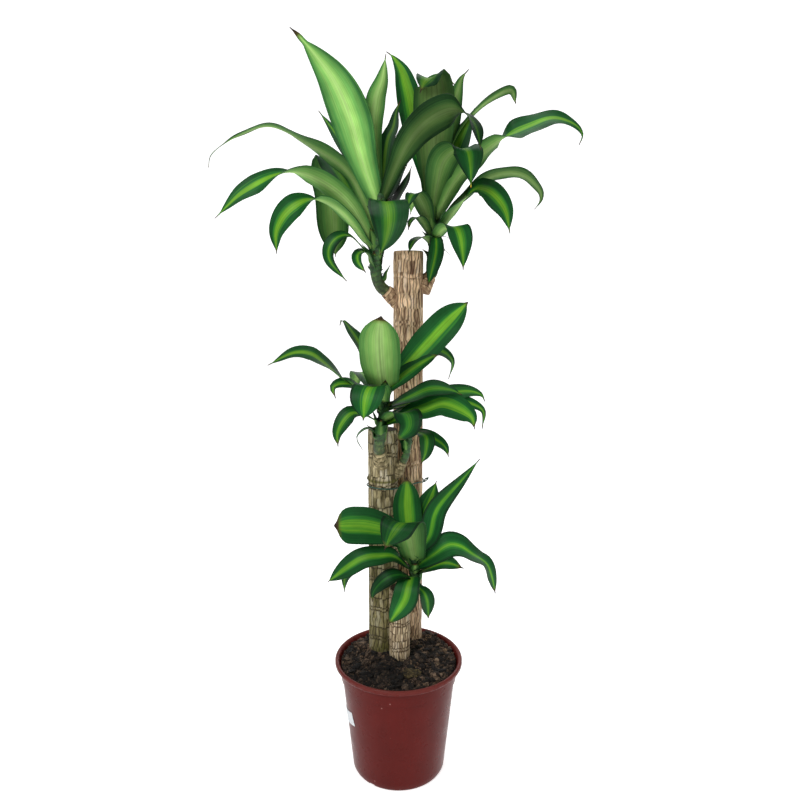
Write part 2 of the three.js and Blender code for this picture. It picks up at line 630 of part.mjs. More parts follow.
      ['long, to the left', 0.30, 200, 40,
        [[-36, -20, 42], [-67, -24, 46], [-92, -26, 43], [-116, -26, 30], [-158, -26, -2]],
        { tip: 3.4, drip: 0.98, roll: [0, -40, -60] }],
      ['drooping left', 0.16, 225, 30,
        [[-20, -25, 20], [-42, -32, 22], [-62, -34, 10], [-76, -34, -8], [-78, -34, -25]],
        { roll: [0, -30, -30] }],
      ['narrow, to the left', 0.35, 190, 26,
        [[-50, -12, 36], [-95, -14, 27], [-124, -14, 4], [-129, -14, -30]],
        { tip: 3.4, roll: [0, -30, -60] }],
      ['hanging in front', 0.12, 260, 46, [[-7, -22, 18], [-14, -42, 10], [-22, -52, -14], [-50, -52, -58]]],
      ['small, hanging on the right', 0.10, 310, 30,
        [[8, -8, -8], [16, -12, -15], [22, -12, -34], [24, -12, -64]],
        { tip: 2.2, roll: [0, 20] }],
    ],
  },
};

// ---- tie wire: once round the middle and the tall cane, its two ends twisted at the right
function wireSolid() {
  const tall = caneMiddle(CANES.tall, WIRE_Z);
  const mid = caneMiddle(CANES.mid, WIRE_Z);
  const reach = CANES.tall.radius + WIRE_RADIUS + WIRE_CLEARANCE;
  const square = Math.atan2(tall.y - mid.y, tall.x - mid.x) + Math.PI / 2;
  const twist = THREE.MathUtils.degToRad(TWIST_TURN);
  const around = (middle, turn, rise) => new THREE.Vector3(
    middle.x + reach * Math.cos(turn),
    middle.y + reach * Math.sin(turn),
    WIRE_Z + rise,
  );
  const out = new THREE.Vector3(Math.cos(twist), Math.sin(twist), 0);
  const up = out.clone().add(new THREE.Vector3(0, 0, 1)).normalize();
  const sideways = new THREE.Vector3(-Math.sin(twist), Math.cos(twist), 0);
  const over = up.clone().cross(sideways);
  const knot = around(tall, twist, 0).addScaledVector(out, MID_RISE);
  const strand = (sign) => {
    const points = [];
    for (let i = 0; i <= TWIST_POINTS; i += 1) {
      const turn = Math.PI * i / TWIST_POINTS;
      points.push(knot.clone()
        .addScaledVector(up, TWIST_LENGTH * i / TWIST_POINTS)
        .addScaledVector(sideways, sign * STRAND_RADIUS * Math.cos(turn))
        .addScaledVector(over, sign * STRAND_RADIUS * Math.sin(turn)));
    }
    return points;
  };
  const points = strand(1).reverse();
  for (let i = 1; i < MID_POINTS; i += 1) {
    const share = i / (MID_POINTS - 1);
    points.push(around(tall, THREE.MathUtils.lerp(twist + TWIST_OPENING, square, share), 0));
  }
  for (let i = 0; i <= MID_POINTS; i += 1) {
    const half = Math.PI * i / MID_POINTS;
    points.push(around(mid, square + half, MID_RISE * Math.sin(half)));
  }
  const last = square + Math.PI;
  for (let i = 0; i <= 1; i += 1) {
    points.push(around(tall, THREE.MathUtils.lerp(last, twist + 2 * Math.PI - TWIST_OPENING, i / 2), 1));
  }
  points.push(...strand(-1));
  const section = new THREE.Shape();
  for (let i = 0; i < WIRE_SIDES; i += 1) {
    const turn = 2 * Math.PI * i / WIRE_SIDES;
    const [x, y] = [WIRE_RADIUS * Math.cos(turn), WIRE_RADIUS * Math.sin(turn)];
    if (i === 0) {
      section.moveTo(x, y);
    } else {
      section.lineTo(x, y);
    }
  }
  const extrudePath = new THREE.CatmullRomCurve3(points, false, 'centripetal');
  return solidOf(new THREE.ExtrudeGeometry(section, { steps: WIRE_STEPS, extrudePath }));
}

// ---- label: a blank slip stuck to the wall, a little askew
function labelSolid() {
  const [columns, rows] = [LABEL_COLUMNS, LABEL_ROWS];
  const tilt = THREE.MathUtils.degToRad(LABEL_TILT);
  const points = [];
  for (const lift of [GAP, GAP + LABEL_THICKNESS]) {
    for (let r = 0; r <= rows; r += 1) {
      for (let c = 0; c <= columns; c += 1) {
        const [s, h] = [LABEL_LENGTH * (c / columns - 0.5), LABEL_WIDTH * (r / rows - 0.5)];
        const z = LABEL_Z + h * Math.cos(tilt) + s * Math.sin(tilt);
        const radius = wallRadius(z);
        const run = s * Math.cos(tilt) - h * Math.sin(tilt);
        const turn = THREE.MathUtils.degToRad(LABEL_TURN) + run / radius;
        points.push(new THREE.Vector3((radius + lift) * Math.cos(turn), (radius + lift) * Math.sin(turn), z));
      }
    }
  }
  const width = columns + 1;
  const layer = width * (rows + 1);
  const triangles = [];
  for (let r = 0; r < rows; r += 1) {
    for (let c = 0; c < columns; c += 1) {
      const a = r * width + c;
      triangles.push([a, a + width, a + width + 1], [a, a + width + 1, a + 1]);
      const b = layer + a;
      triangles.push([b, b + width + 1, b + width], [b, b + 1, b + width + 1]);
    }
  }
  const edge = (a, b) => triangles.push([a, b, layer + b], [a, layer + b, layer + a]);
  for (let c = 0; c < columns; c += 1) {
    edge(c, c + 1);
    edge(rows * width + c + 1, rows * width + c);
  }
  for (let r = 0; r < rows; r += 1) {
    edge((r + 1) * width, r * width);
    edge(r * width + columns, (r + 1) * width + columns);
  }
  return solidOf(indexed(points, triangles));
}

// ---- materials
const plastic = new THREE.MeshStandardMaterial({ color: 0x6b2423, roughness: 0.45, metalness: 0 });
const earth = new THREE.MeshStandardMaterial({ color: 0x2e221b, roughness: 1, metalness: 0 });
const bark = new THREE.MeshStandardMaterial({ color: 0xa08a6c, roughness: 0.9, metalness: 0 });
const greyBark = new THREE.MeshStandardMaterial({ color: 0x8c8467, roughness: 0.9, metalness: 0 });
const paleBark = new THREE.MeshStandardMaterial({ color: 0xb5a184, roughness: 0.9, metalness: 0 });
const leafGreen = new THREE.MeshStandardMaterial({ color: 0x2f6b33, roughness: 0.42, metalness: 0 });
const coating = new THREE.MeshStandardMaterial({ color: 0x1f3a34, roughness: 0.5, metalness: 0 });
const paper = new THREE.MeshStandardMaterial({ color: 0xf4f3ef, roughness: 0.6, metalness: 0 });

const group = new THREE.Group();

function place(name, solid, material) {
  const mesh = new THREE.Mesh(geometryOf(solid), material);
  mesh.name = name;
  group.add(mesh);
}

place('pot', potSolid(), plastic);
place('soil', soilSolid(), earth);
for (const [name, material] of [['tall', bark], ['mid', greyBark], ['short', paleBark]]) {
  const collars = Object.values(SHOOTS).filter((shoot) => shoot.cane === name).map(collarSolid);
  place(`cane_${name}`, caneSolid(CANES[name], collars), material);
}
for (const [name, shoot] of Object.entries(SHOOTS)) {
  place(`shoot_${name}`, shootSolid(shoot), leafGreen);
}
place('tie_wire', wireSolid(), coating);
place('pot_label', labelSolid(), paper);

export default group;
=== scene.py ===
"""Potted corn plant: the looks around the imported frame, laid out as an add-on and run as a script."""

import math
import random

import bmesh
import bpy
from mathutils import Matrix, Vector, noise


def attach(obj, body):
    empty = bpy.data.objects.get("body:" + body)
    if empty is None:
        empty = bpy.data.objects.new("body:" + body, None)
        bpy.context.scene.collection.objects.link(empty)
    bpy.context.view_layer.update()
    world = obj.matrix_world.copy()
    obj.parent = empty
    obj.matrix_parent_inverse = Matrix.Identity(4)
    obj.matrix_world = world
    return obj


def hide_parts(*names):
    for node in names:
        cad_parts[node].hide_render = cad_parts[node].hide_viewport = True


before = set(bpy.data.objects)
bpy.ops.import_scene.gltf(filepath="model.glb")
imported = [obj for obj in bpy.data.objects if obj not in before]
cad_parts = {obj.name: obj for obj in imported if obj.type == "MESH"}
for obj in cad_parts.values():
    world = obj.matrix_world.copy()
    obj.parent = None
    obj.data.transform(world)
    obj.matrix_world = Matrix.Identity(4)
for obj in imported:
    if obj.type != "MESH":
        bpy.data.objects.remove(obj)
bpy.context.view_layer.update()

bl_info = {
    "name": "Potted corn plant",
    "version": (1, 0, 0),
    "blender": (4, 5, 0),
    "location": "View3D > Sidebar > Corn plant",
    "description": "Builds a potted corn plant with three canes, striped leaves and a nursery pot",
    "category": "Add Mesh",
}

MM = 0.001
WHITE = (1.0, 1.0, 1.0)
FULL_TURN = 6.28
RUN_STEPS = 24

# ---- the plant's driving sizes in millimetres

# The pot as the frame has it, with a round wall cut into a number of sides.
POT = {
    "height": 217, "rim_depth": 8, "neck_radius": 112, "ledge_z": 179, "ledge_radius": 108.5,
    "wall_top_radius": 106, "base_radius": 87, "wall": 2, "floor": 7.4, "sides": 40,
}

# Each cane: the frame's finish slot, the middles of its two ends, its radius and the faces round it.
# Its bark: the distance between growth rings and their depth, a plate's width, how many plates it
# shifts from ring to ring, how much the plates' tones change there, how unlike they are, half a
# fissure's width, a number that makes the pattern the cane's own, and the height of a swollen ring.
CANES = {
    "tall": {
        "slot": "cane_brown", "bottom": (18, 57, 80), "top": (18, 73, 974), "radius": 28, "columns": 168,
        "ring": 29, "ring_depth": 0.3, "plate": 6.4, "shift": 0.8, "fresh": 0.7, "unlike": 0.5,
        "fissure": 1.05, "pattern": 0.3,
    },
    "mid": {
        "slot": "cane_grey", "bottom": (-29, 18, 50), "top": (-29, 26, 650), "radius": 28, "columns": 168,
        "ring": 19.5, "ring_depth": 1.15, "plate": 7.6, "shift": 4.0, "fresh": 1.0, "unlike": 0.9,
        "fissure": 0.85, "pattern": 1.7, "swollen": 558,
    },
    "short": {
        "slot": "cane_pale", "bottom": (2, -22, 60), "top": (2, -18, 361.6), "radius": 19.5, "columns": 120,
        "ring": 16.5, "ring_depth": 1.3, "plate": 5.4, "shift": 2.5, "fresh": 0.8, "unlike": 0.7,
        "fissure": 1.0, "pattern": 4.1,
    },
}
BARK_ROW = 2.2

# The soil: its height at the pot's wall, its mound round the canes, its lumps and two low heaps.
SOIL_WALL_Z = 212
SOIL_MOUND = 16
SOIL_LUMP = 2.2
SOIL_HEAPS = (
    {"place": (62, 66), "high": 8, "wide": (22, 20)},
    {"place": (0, -36), "high": 4, "wide": (26, 20)},
)
# Where the painted shade at the soil's front, by the rim, is darkest, in metres.
FRONT_SHADE_PLACE = (-12 * MM, -66 * MM, 218 * MM)
MOSS = {"place": (22, -69), "radius": 17, "height": 7}
SOIL_COLUMNS = 192
SOIL_ROWS = 62

# Chips of bark: the height at which they keep clear of the canes, how far out their middles lie and
# their ends may reach, and their sizes and shades.
CHIP_Z = 214
CHIP_REACH = 106
CHIP_LIMIT = 109
CHIP_SIZES = (2.0, 2.6, 3.2, 4.2, 5.6, 8.0)
CHIP_SHADES = (-0.18, -0.14, -0.08, -0.02, 0.04, 0.12)

# The clear gap between pieces, and what the shoots' feet have in common.
GAP = 0.35
COLLAR_FLARE = 1.6
SHEATH_EVERY = 11
SCAR_EVERY = 8.5
STEM_ROW = 1.6
GOLDEN_TURN = 137.5
ROOT_RADIUS = 0.8
AERIAL_ROOTS = {
    "top_right": [
        [(70, 82, 1000), (85, 75, 1001), (96, 72, 995)],
        [(69, 82, 970), (84, 74, 976), (95, 72, 967)],
    ],
    "top_left": [[(-38, 50, 966), (-30, 52, 967), (-24, 52, 958)]],
}

# A leaf's fine ribs, the rows of its sheet, and what its colours follow: the way across and along
# it, its own number, the share out to its edge, its dryness, its band, which also carries painted
# shade, and its tone, which the shoot tables use for painted light and shade.
LEAF_RIB = 2.2
LEAF_ROW = 5
LEAF_LAYERS = ("vein", "run", "seed", "edge", "dry", "band", "tone")
# The marks on a leaf: how wide and how long they are, and how unlike from leaf to leaf.
LEAF_NOISES = {"streak": (3.4, 420, 37.0), "fine": (1.1, 160, 61.0), "patch": (26, 60, 11.0)}
# A leaf's dry tip, from an old yellow one through the living blade to a dark one.
DRY_COLOURS = (
    (0.0, "#4A2C1A"), (0.08, "#C27A2A"), (0.2, "#E0C04A"), (0.4, "#B9C23C"),
    (0.5, "#6E7A2A"), (0.7, "#4A4420"), (0.85, "#3A2C1C"), (1.0, "#221C14"),
)

# ---- the stage: metres, and pixels of a picture 800 wide for the camera

CAMERA = {
    "place": (0.0, -1.1771, 0.8833), "pitch": 8.47, "sensor": 36.0,
    "focal": 664, "shift": 1.4, "picture": 800,
}
SWEEP = {"near": 3.0, "far": 3.4, "bend": 1.6, "high": 4.0, "wide": 9.0}
LIGHTS = (
    {"name": "key", "energy": 44.0, "size": 1.2, "place": (-1.3, -2.0, 2.5), "aim": (0.0, 0.0, 0.8)},
    {"name": "fill", "energy": 7.0, "size": 1.6, "place": (2.2, -1.4, 1.5), "aim": (0.0, 0.0, 0.6)},
    {"name": "top", "energy": 22.0, "size": 1.4, "place": (0.3, 0.3, 2.9), "aim": (0.0, 0.0, 0.6)},
)

# ---- the shoots

# A shoot has the cane it grows from, how far its woody collar goes back into that cane, its stem's
# radius at the foot and at the top, the points that its stem goes through, and its leaves.
# A leaf is (its place in words, the share of the stem's length where it starts, its heading in
# degrees from the right over the back, its greatest width, its route as steps right, back and up
# from its start, its shape). Its shape may give the share of its length where it is broadest (belly),
# its width at its root, how bluntly it ends (tip) and where its drip tip starts (drip) and how wide
# that is (thin), its gutter's depth, its roll about its own run from root to tip, how dry its tip is in
# millimetres (dry, below 0 for yellow), how wide its bright band is (band) and how light it is (tone).
# Tone here is painted light and shade: leaves that lie in shade are made darker and lit or backlit
# leaves lighter. Band is partly the stripe's own width and partly painted shade, narrower on shaded leaves.
TOP_LEFT_SHOOT = {
    "cane": "tall", "collar": 32, "radii": (11, 8),
    "stem": [(-24, 64, 902), (-33, 60, 910), (-40, 54, 927), (-42, 48, 950), (-39, 42, 990),
             (-33, 38, 1030), (-31, 36, 1075)],
    "leaves": [
        ("tallest, leaning left", 0.8, 265, 70, [(-30, -20, 85), (-50, -30, 155), (-80, -30, 218),
         (-130, -30, 278), (-150, -25, 298)], {"drip": 0.92, "tip": 1.8, "tone": 1.66, "band": 0.7,
         "thin": 9, "dry": 34}),
        ("long arch left", 0.5, 178, 54, [(-25, 3, 78), (-55, 7, 129), (-120, 12, 172), (-185, 12, 203),
         (-240, 12, 190), (-290, 12, 160), (-300, 12, 133)], {"drip": 0.9, "roll": [40, 45, 26, -2, -8, -8],
         "tone": 0.85, "thin": 6}),
        ("second arch left", 0.42, 195, 48, [(-40, -18, 74), (-95, -25, 118), (-155, -26, 133),
         (-227, -26, 103), (-281, -26, 56)], {"tip": 2.4, "roll": [40, 65, 20, -65, -75], "tone": 1.08,
         "band": 1.15}),
        ("third arch left", 0.38, 205, 47, [(-55, -22, 70), (-104, -34, 94), (-147, -36, 77),
         (-171, -36, 42), (-172, -36, 2)], {"tip": 2.8, "drip": 0.985, "roll": [0, 10, 10, 0, -60, -78,
         -78], "tone": 1.1, "band": 1.15}),
        ("hanging behind left", 0.4, 110, 64, [(-45, 35, 105), (-84, 58, 172), (-91, 68, 150),
         (-84, 70, 105), (-79, 70, 0)], {"belly": 0.7, "tip": 5, "drip": 0.985, "tone": 0.75, "band": 0.8}),
        ("short drooping left", 0.3, 215, 25, [(-38, -28, 44), (-62, -36, 46), (-79, -38, 28),
         (-78, -38, 3), (-49, -40, -31)], {"roll": [0, -40, -50], "tone": 0.8}),
        ("broad, hanging in front", 0.75, 270, 68, [(6, -30, 18), (13, -60, 18), (18, -88, -10),
         (14, -98, -42), (2, -100, -72)], {"tone": 0.68, "band": 0.95}),
        ("arch to the right", 0.85, 290, 56, [(24, -18, 58), (53, -36, 107), (88, -46, 138),
         (128, -52, 150), (157, -56, 128), (169, -60, 84)], {"belly": 0.58, "root": 0.32, "tip": 4,
         "drip": 0.98, "roll": [0, 0, -15, -35, -30], "tone": 0.42, "band": 0.6}),
        ("upright", 0.9, 280, 36, [(-13, 2, 110), (-8, 0, 170), (3, 0, 205), (10, 0, 246)], {"belly": 0.62,
         "tone": 1.15}),
        ("upright behind", 0.9, 80, 28, [(10, 20, 100), (22, 23, 132), (27, 24, 157), (35, 24, 178)],
         {"tone": 0.6}),
        ("leaning left behind", 0.8, 120, 35, [(-30, 25, 60), (-70, 40, 128), (-112, 45, 184)]),
        ("small, low on the left", 0.2, 200, 32, [(-16, -22, 36), (-30, -30, 35), (-30, -32, 20),
         (-17, -34, 2)], {"tip": 2.4, "roll": [0, -30]}),
        ("dark, behind on the right", 0.6, 40, 38, [(10, 18, 50), (31, 27, 90), (53, 32, 125)],
         {"tone": 0.4, "band": 0.3}),
        ("dark, low behind on the right", 0.55, 30, 40, [(24, 10, 50), (48, 15, 92), (62, 17, 128)],
         {"tone": 0.35, "band": 0.2}),
        ("arching to the back right", 0.6, 80, 38, [(8, 55, 66), (18, 110, 76), (24, 140, 60),
         (26, 152, 38)]),
        ("arching to the back", 0.45, 92, 50, [(-5, 60, 62), (0, 120, 80), (5, 170, 50), (8, 195, 12)]),
    ],
}
TOP_RIGHT_SHOOT = {
    "cane": "tall", "collar": 32, "radii": (11, 8),
    "stem": [(58, 77, 930), (63, 80, 940), (66, 84, 968), (64, 86, 1005), (61, 86, 1040), (60, 86, 1085)],
    "leaves": [
        ("broad, folded forward at its tip", 0.75, 270, 74, [(1, -20, 110), (2, -26, 180), (-1, -32, 219),
         (-14, -42, 217), (-24, -46, 194)], {"belly": 0.6, "tip": 4, "gutter": 0.1, "tone": 0.5,
         "band": 1.3}),
        ("upright, leaning left", 0.9, 95, 46, [(-27, -4, 100), (-41, -6, 170), (-48, -6, 198),
         (-56, -6, 222), (-70, -6, 243), (-82, -6, 252)], {"belly": 0.6, "drip": 0.97, "tone": 1.2,
         "band": 1.35}),
        ("behind, bent over to the right", 0.9, 0, 44, [(-8, 12, 110), (-10, 16, 170), (-3, 18, 201),
         (14, 18, 215), (32, 18, 212), (43, 18, 203)], {"tip": 2.4, "roll": [-90, -90]}),
        ("narrow upright", 0.9, 290, 34, [(20, 2, 70), (37, 4, 138), (45, 4, 183), (53, 4, 210),
         (66, 4, 226)], {"belly": 0.6}),
        ("narrow, to the right behind", 0.85, 355, 24, [(40, 8, 108), (82, 14, 166), (140, 16, 202),
         (154, 16, 178)], {"belly": 0.86, "tip": 3, "drip": 0.99, "roll": [-5, -5, -30], "tone": 0.8}),
        ("long arch right", 0.6, 345, 52, [(40, -28, 74), (80, -45, 112), (126, -52, 145), (166, -53, 163),
         (204, -53, 175), (240, -53, 166), (257, -53, 148), (252, -53, 130)], {"roll": [-60, -60, -55, -40,
         -28, -8, 58, 60, 55, 50, 50], "tone": 1.0, "band": 1.0}),
        ("upright right, behind", 0.8, 70, 48, [(20, 8, 50), (42, 14, 100), (62, 14, 142), (78, 14, 178)]),
        ("broad, hanging in front", 0.65, 278, 62, [(7, -31, 58), (16, -56, 94), (35, -81, 108),
         (53, -96, 104), (58, -104, 78), (60, -106, 42)], {"belly": 0.62, "tone": 0.72, "dry": -7}),
        ("second arch right", 0.5, 350, 38, [(45, -22, 52), (90, -36, 90), (129, -38, 101), (160, -38, 96),
         (186, -38, 74), (190, -38, 56), (179, -38, 39)], {"belly": 0.6, "tip": 3, "drip": 0.985,
         "roll": [-20, -20, -20], "tone": 0.6}),
        ("drooping right, in front", 0.42, 330, 54, [(25, -30, 35), (63, -60, 78), (82, -65, 82),
         (103, -66, 70), (122, -66, 44), (131, -66, 6)], {"tip": 2.2, "roll": [0, 0, 30, 55, 60],
         "tone": 1.0, "band": 1.0}),
        ("low, hanging in front", 0.4, 290, 49, [(15, -35, 20), (34, -60, 22), (43, -66, 5), (48, -68, -30),
         (49, -68, -53)]),
        ("short, front left", 0.5, 240, 38, [(-24, -30, 56), (-39, -45, 64), (-51, -52, 35)],
         {"tone": 0.7}),
        ("smaller, front left", 0.4, 230, 24, [(-25, -25, 40), (-42, -35, 36), (-48, -40, 18)],
         {"tone": 0.7}),
        ("hanging over the cane", 0.32, 215, 34, [(-18, -22, 20), (-37, -40, 12), (-48, -48, -10)]),
        ("small, hanging by the cane", 0.35, 290, 32, [(2, -22, 14), (1, -30, -15), (-12, -30, -72)]),
        ("arching to the back left", 0.62, 115, 40, [(-15, 60, 55), (-30, 112, 65), (-38, 150, 35)]),
        ("hanging at the back", 0.45, 90, 50, [(5, 60, 60), (10, 120, 72), (14, 168, 45), (16, 184, 8)]),
    ],
}
MID_LEFT_SHOOT = {
    "cane": "mid", "collar": 34, "radii": (10, 7),
    "stem": [(-34, -14, 617), (-35, -20, 627), (-32, -24, 650), (-27, -24, 690), (-24, -22, 730),
             (-22, -20, 750)],
    "leaves": [
        ("broad upright", 0.8, 270, 70, [(-5, -25, 40), (-8, -45, 92), (-6, -56, 125), (-4, -62, 136)],
         {"root": 0.75, "tip": 4, "drip": 0.985, "tone": 1.0, "band": 1.3}),
        ("upright, leaning left", 0.8, 150, 44, [(-20, 10, 38), (-42, 26, 80), (-60, 30, 109),
         (-75, 32, 127), (-80, 32, 117)], {"tone": 0.8}),
        ("long arch left", 0.6, 185, 44, [(-35, -3, 22), (-67, -4, 48), (-107, -4, 84), (-130, -4, 98),
         (-160, -4, 97), (-201, -4, 77)], {"tip": 2.2, "roll": [30, 10, -32, -38], "tone": 0.9,
         "band": 1.1}),
        ("short drooping left", 0.5, 200, 35, [(-44, -12, 52), (-66, -20, 61), (-84, -25, 55),
         (-80, -28, 36)], {"roll": [0, -20, -40]}),
        ("broad, hanging in front", 0.6, 262, 59, [(-8, -20, 33), (-20, -38, 43), (-28, -52, 26),
         (-33, -58, -11)], {"tip": 2.4, "belly": 0.6, "tone": 1.2}),
        ("low, drooping left", 0.4, 215, 34, [(-37, -12, 20), (-58, -16, 18), (-76, -20, -10),
         (-76, -20, -37)], {"roll": [0, -30, -40], "tone": 0.9}),
        ("broad, leaning right", 0.85, 90, 56, [(20, 3, 25), (64, 12, 70), (108, 15, 117), (145, 15, 152)],
         {"belly": 0.55, "root": 0.32, "tip": 4, "drip": 0.99, "tone": 1.1, "band": 1.05}),
        ("under the broad one", 0.8, 60, 36, [(34, -5, 32), (80, 0, 62), (97, 2, 68)], {"tip": 2.4,
         "tone": 0.8}),
        ("narrow, bent down at the right", 0.8, 20, 34, [(45, 22, 56), (90, 30, 74), (121, 42, 54),
         (115, 42, 20)], {"roll": [0, 40, 50]}),
        ("dark, to the right", 0.6, 330, 44, [(47, -18, 23), (81, -25, 38), (115, -28, 37), (135, -30, 29)],
         {"roll": [20, 40, 40], "tone": 0.75, "band": 0.8}),
        ("long, to the right behind", 0.55, 10, 36, [(60, 15, 18), (138, 24, 34), (172, 24, 30),
         (182, 22, 16)], {"tip": 2.6, "roll": [0, 30, 70]}),
        ("to the right in front", 0.35, 335, 48, [(35, -18, 22), (76, -26, 37), (110, -28, 47),
         (152, -28, 27), (162, -28, 2)], {"tip": 3.4, "drip": 0.97, "roll": [20, 55, 60], "tone": 1.05,
         "band": 1.1}),
        ("narrow, to the right", 0.45, 5, 30, [(50, 8, 25), (121, 14, 34), (176, 14, 18), (178, 12, -18)],
         {"roll": [0, 40, 60]}),
        ("folded down in front", 0.4, 285, 50, [(22, -20, 20), (42, -38, 24), (46, -52, 3),
         (24, -58, -20)]),
        ("dark, behind on the right", 0.35, 350, 32, [(30, 5, 12), (60, 8, 26), (88, 8, 18)], {"roll": [0,
         40]}),
        ("dried curl on the left", 0.2, 190, 14, [(-16, -5, 18), (-28, -8, 18), (-40, -10, 4),
         (-30, -12, -18)]),
        ("hanging at the back", 0.55, 120, 40, [(-25, 40, 48), (-45, 90, 62), (-55, 130, 40),
         (-58, 145, 5)]),
    ],
}
MID_RIGHT_SHOOT = {
    "cane": "mid", "collar": 30, "radii": (7, 5),
    "stem": [(8, 12, 592), (13, 8, 603), (17, 4, 622), (20, 0, 645)],
    "leaves": [
        ("hanging in front", 0.95, 300, 34, [(6, -8, 8), (28, -20, 3), (28, -26, -24), (20, -28, -45)]),
        ("to the right", 0.85, 340, 26, [(20, 8, 10), (50, 6, -4), (66, 4, -17), (72, 2, -34)], {"roll": [0,
         40, 50]}),
    ],
}
LOW_SHOOT = {
    "cane": "short", "collar": 38, "radii": (10, 7),
    "stem": [(28, -21, 366), (31, -22, 376), (30, -22, 392), (28, -22, 412), (27, -22, 437)],
    "leaves": [
        ("upright behind", 0.9, 90, 52, [(-8, 12, 40), (-12, 20, 80), (-12, 24, 110), (-13, 24, 136)],
         {"tip": 3, "drip": 0.98, "tone": 1.0, "band": 1.25}),
        ("upright, back right", 0.8, 80, 44, [(8, 14, 32), (19, 22, 68), (31, 26, 100), (42, 26, 135)],
         {"belly": 0.6, "tone": 1.0, "band": 1.0}),
        ("long, leaning right", 0.7, 80, 41, [(13, 4, 22), (29, 8, 44), (38, 12, 82), (52, 13, 107),
         (89, 13, 150), (119, 13, 187)], {"belly": 0.35, "tip": 1.5, "tone": 1.25, "band": 0.5}),
        ("broad, folded forward", 0.55, 262, 70, [(-6, -22, 42), (-14, -42, 84), (-21, -56, 101),
         (-32, -68, 98), (-44, -73, 80), (-53, -74, 59)], {"belly": 0.62, "root": 0.6, "tip": 2.2,
         "gutter": 0.1, "tone": 0.75, "band": 0.7}),
        ("broad, to the left", 0.75, 180, 66, [(-20, 0, 30), (-48, -8, 55), (-84, -18, 68), (-118, -26, 72),
         (-142, -28, 72)], {"belly": 0.72, "root": 0.4, "tip": 5, "drip": 0.985, "roll": [0, -35, -60, -72,
         -75], "tone": 0.95, "band": 1.1}),
        ("long, to the right", 0.5, 350, 50, [(37, -4, 28), (61, -4, 44), (83, -4, 42), (104, -4, 28),
         (130, -4, 10), (141, -4, -16), (148, -4, -48)], {"belly": 0.38, "root": 0.5, "tip": 3.4,
         "drip": 0.985, "roll": [40, 60, 55, 22, 0, 32, 40], "tone": 1.35, "band": 0.6}),
        ("short, to the right", 0.3, 330, 34, [(30, -15, 23), (56, -22, 33), (86, -26, 24)], {"roll": [0,
         30, 50]}),
        ("long, to the left", 0.3, 200, 40, [(-36, -20, 42), (-67, -24, 46), (-92, -26, 43),
         (-116, -26, 30), (-158, -26, -2)], {"tip": 3.4, "drip": 0.98, "roll": [0, -40, -60], "tone": 1.0,
         "band": 0.9}),
        ("drooping left", 0.16, 225, 30, [(-20, -25, 20), (-42, -32, 22), (-62, -34, 10), (-76, -34, -8),
         (-78, -34, -25)], {"roll": [0, -30, -30], "tone": 0.65, "band": 0.4}),
        ("narrow, to the left", 0.35, 190, 26, [(-50, -12, 36), (-95, -14, 27), (-124, -14, 4),
         (-129, -14, -30)], {"tip": 3.4, "roll": [0, -30, -60]}),
        ("hanging in front", 0.12, 260, 46, [(-7, -22, 18), (-14, -42, 10), (-22, -52, -14),
         (-50, -52, -58)], {"tone": 1.0, "band": 1.0}),
        ("small, hanging on the right", 0.1, 310, 30, [(8, -8, -8), (16, -12, -15), (22, -12, -34),
         (24, -12, -64)], {"tip": 2.2, "roll": [0, 20]}),
    ],
}
SHOOTS = {
    "top_left": TOP_LEFT_SHOOT, "top_right": TOP_RIGHT_SHOOT, "mid_left": MID_LEFT_SHOOT,
    "mid_right": MID_RIGHT_SHOOT, "low": LOW_SHOOT,
}

# ---- small tools

def linear(colour):
    """An sRGB hex colour as linear red, green and blue."""
    shares = [int(colour[i:i + 2], 16) / 255 for i in (1, 3, 5)]
    return tuple(c / 12.92 if c <= 0.04045 else ((c + 0.055) / 1.055) ** 2.4 for c in shares)


def lerp(low, high, share):
    return low + (high - low) * share


def blend(one, other, share):
    """A colour part of the way from one colour to another."""
    return tuple(lerp(a, b, share) for a, b in zip(one, other))


def scaled(colour, factor):
    """A colour made lighter or darker."""
    return tuple(min(1.0, c * factor) for c in colour)


def stops_of(colours):
    """Ramp stops from pairs of a place and an sRGB hex colour or a linear one."""
    return [(place, linear(c) if isinstance(c, str) else c) for place, c in colours]


def smoothstep(value, low=0.0, high=1.0):
    share = min(max((value - low) / (high - low), 0.0), 1.0)
    return share * share * (3 - 2 * share)


def steps_of(values, share):
    """The value at a share of the way along an evenly spaced list."""
    place = share * (len(values) - 1)
    low = min(int(place), len(values) - 2)
    return lerp(values[low], values[low + 1], place - low)


def outward(along, turn):
    """The direction that points out from a run, at a turn round it."""
    across = along.cross(Vector((0, 1, 0))).normalized()
    return across * math.cos(turn) + along.cross(across) * math.sin(turn)


class Run:
    """A smooth run through points, read at even shares of its length."""

    def __init__(self, points):
        points = [Vector(p) for p in points]
        points = [2 * points[0] - points[1], *points, 2 * points[-1] - points[-2]]
        self.trail = []
        for a, b, c, d in zip(points, points[1:], points[2:], points[3:]):
            for step in range(RUN_STEPS):
                t = step / RUN_STEPS
                square = (2 * a - 5 * b + 4 * c - d) * t * t
                cube = (3 * b - a - 3 * c + d) * t ** 3
                self.trail.append(0.5 * (2 * b + (c - a) * t + square + cube))
        self.trail.append(points[-2])
        self.reach = [0.0]
        for a, b in zip(self.trail, self.trail[1:]):
            self.reach.append(self.reach[-1] + (b - a).length)
        self.length = self.reach[-1]

    def at(self, share):
        wanted = min(max(share, 0.0), 1.0) * self.length
        low, high = 0, len(self.reach) - 1
        while high - low > 1:
            middle = (low + high) // 2
            low, high = (middle, high) if self.reach[middle] <= wanted else (low, middle)
        span = self.reach[high] - self.reach[low]
        return self.trail[low].lerp(self.trail[high], (wanted - self.reach[low]) / span)

    def heading(self, share):
        step = 0.004
        return (self.at(share + step) - self.at(share - step)).normalized()


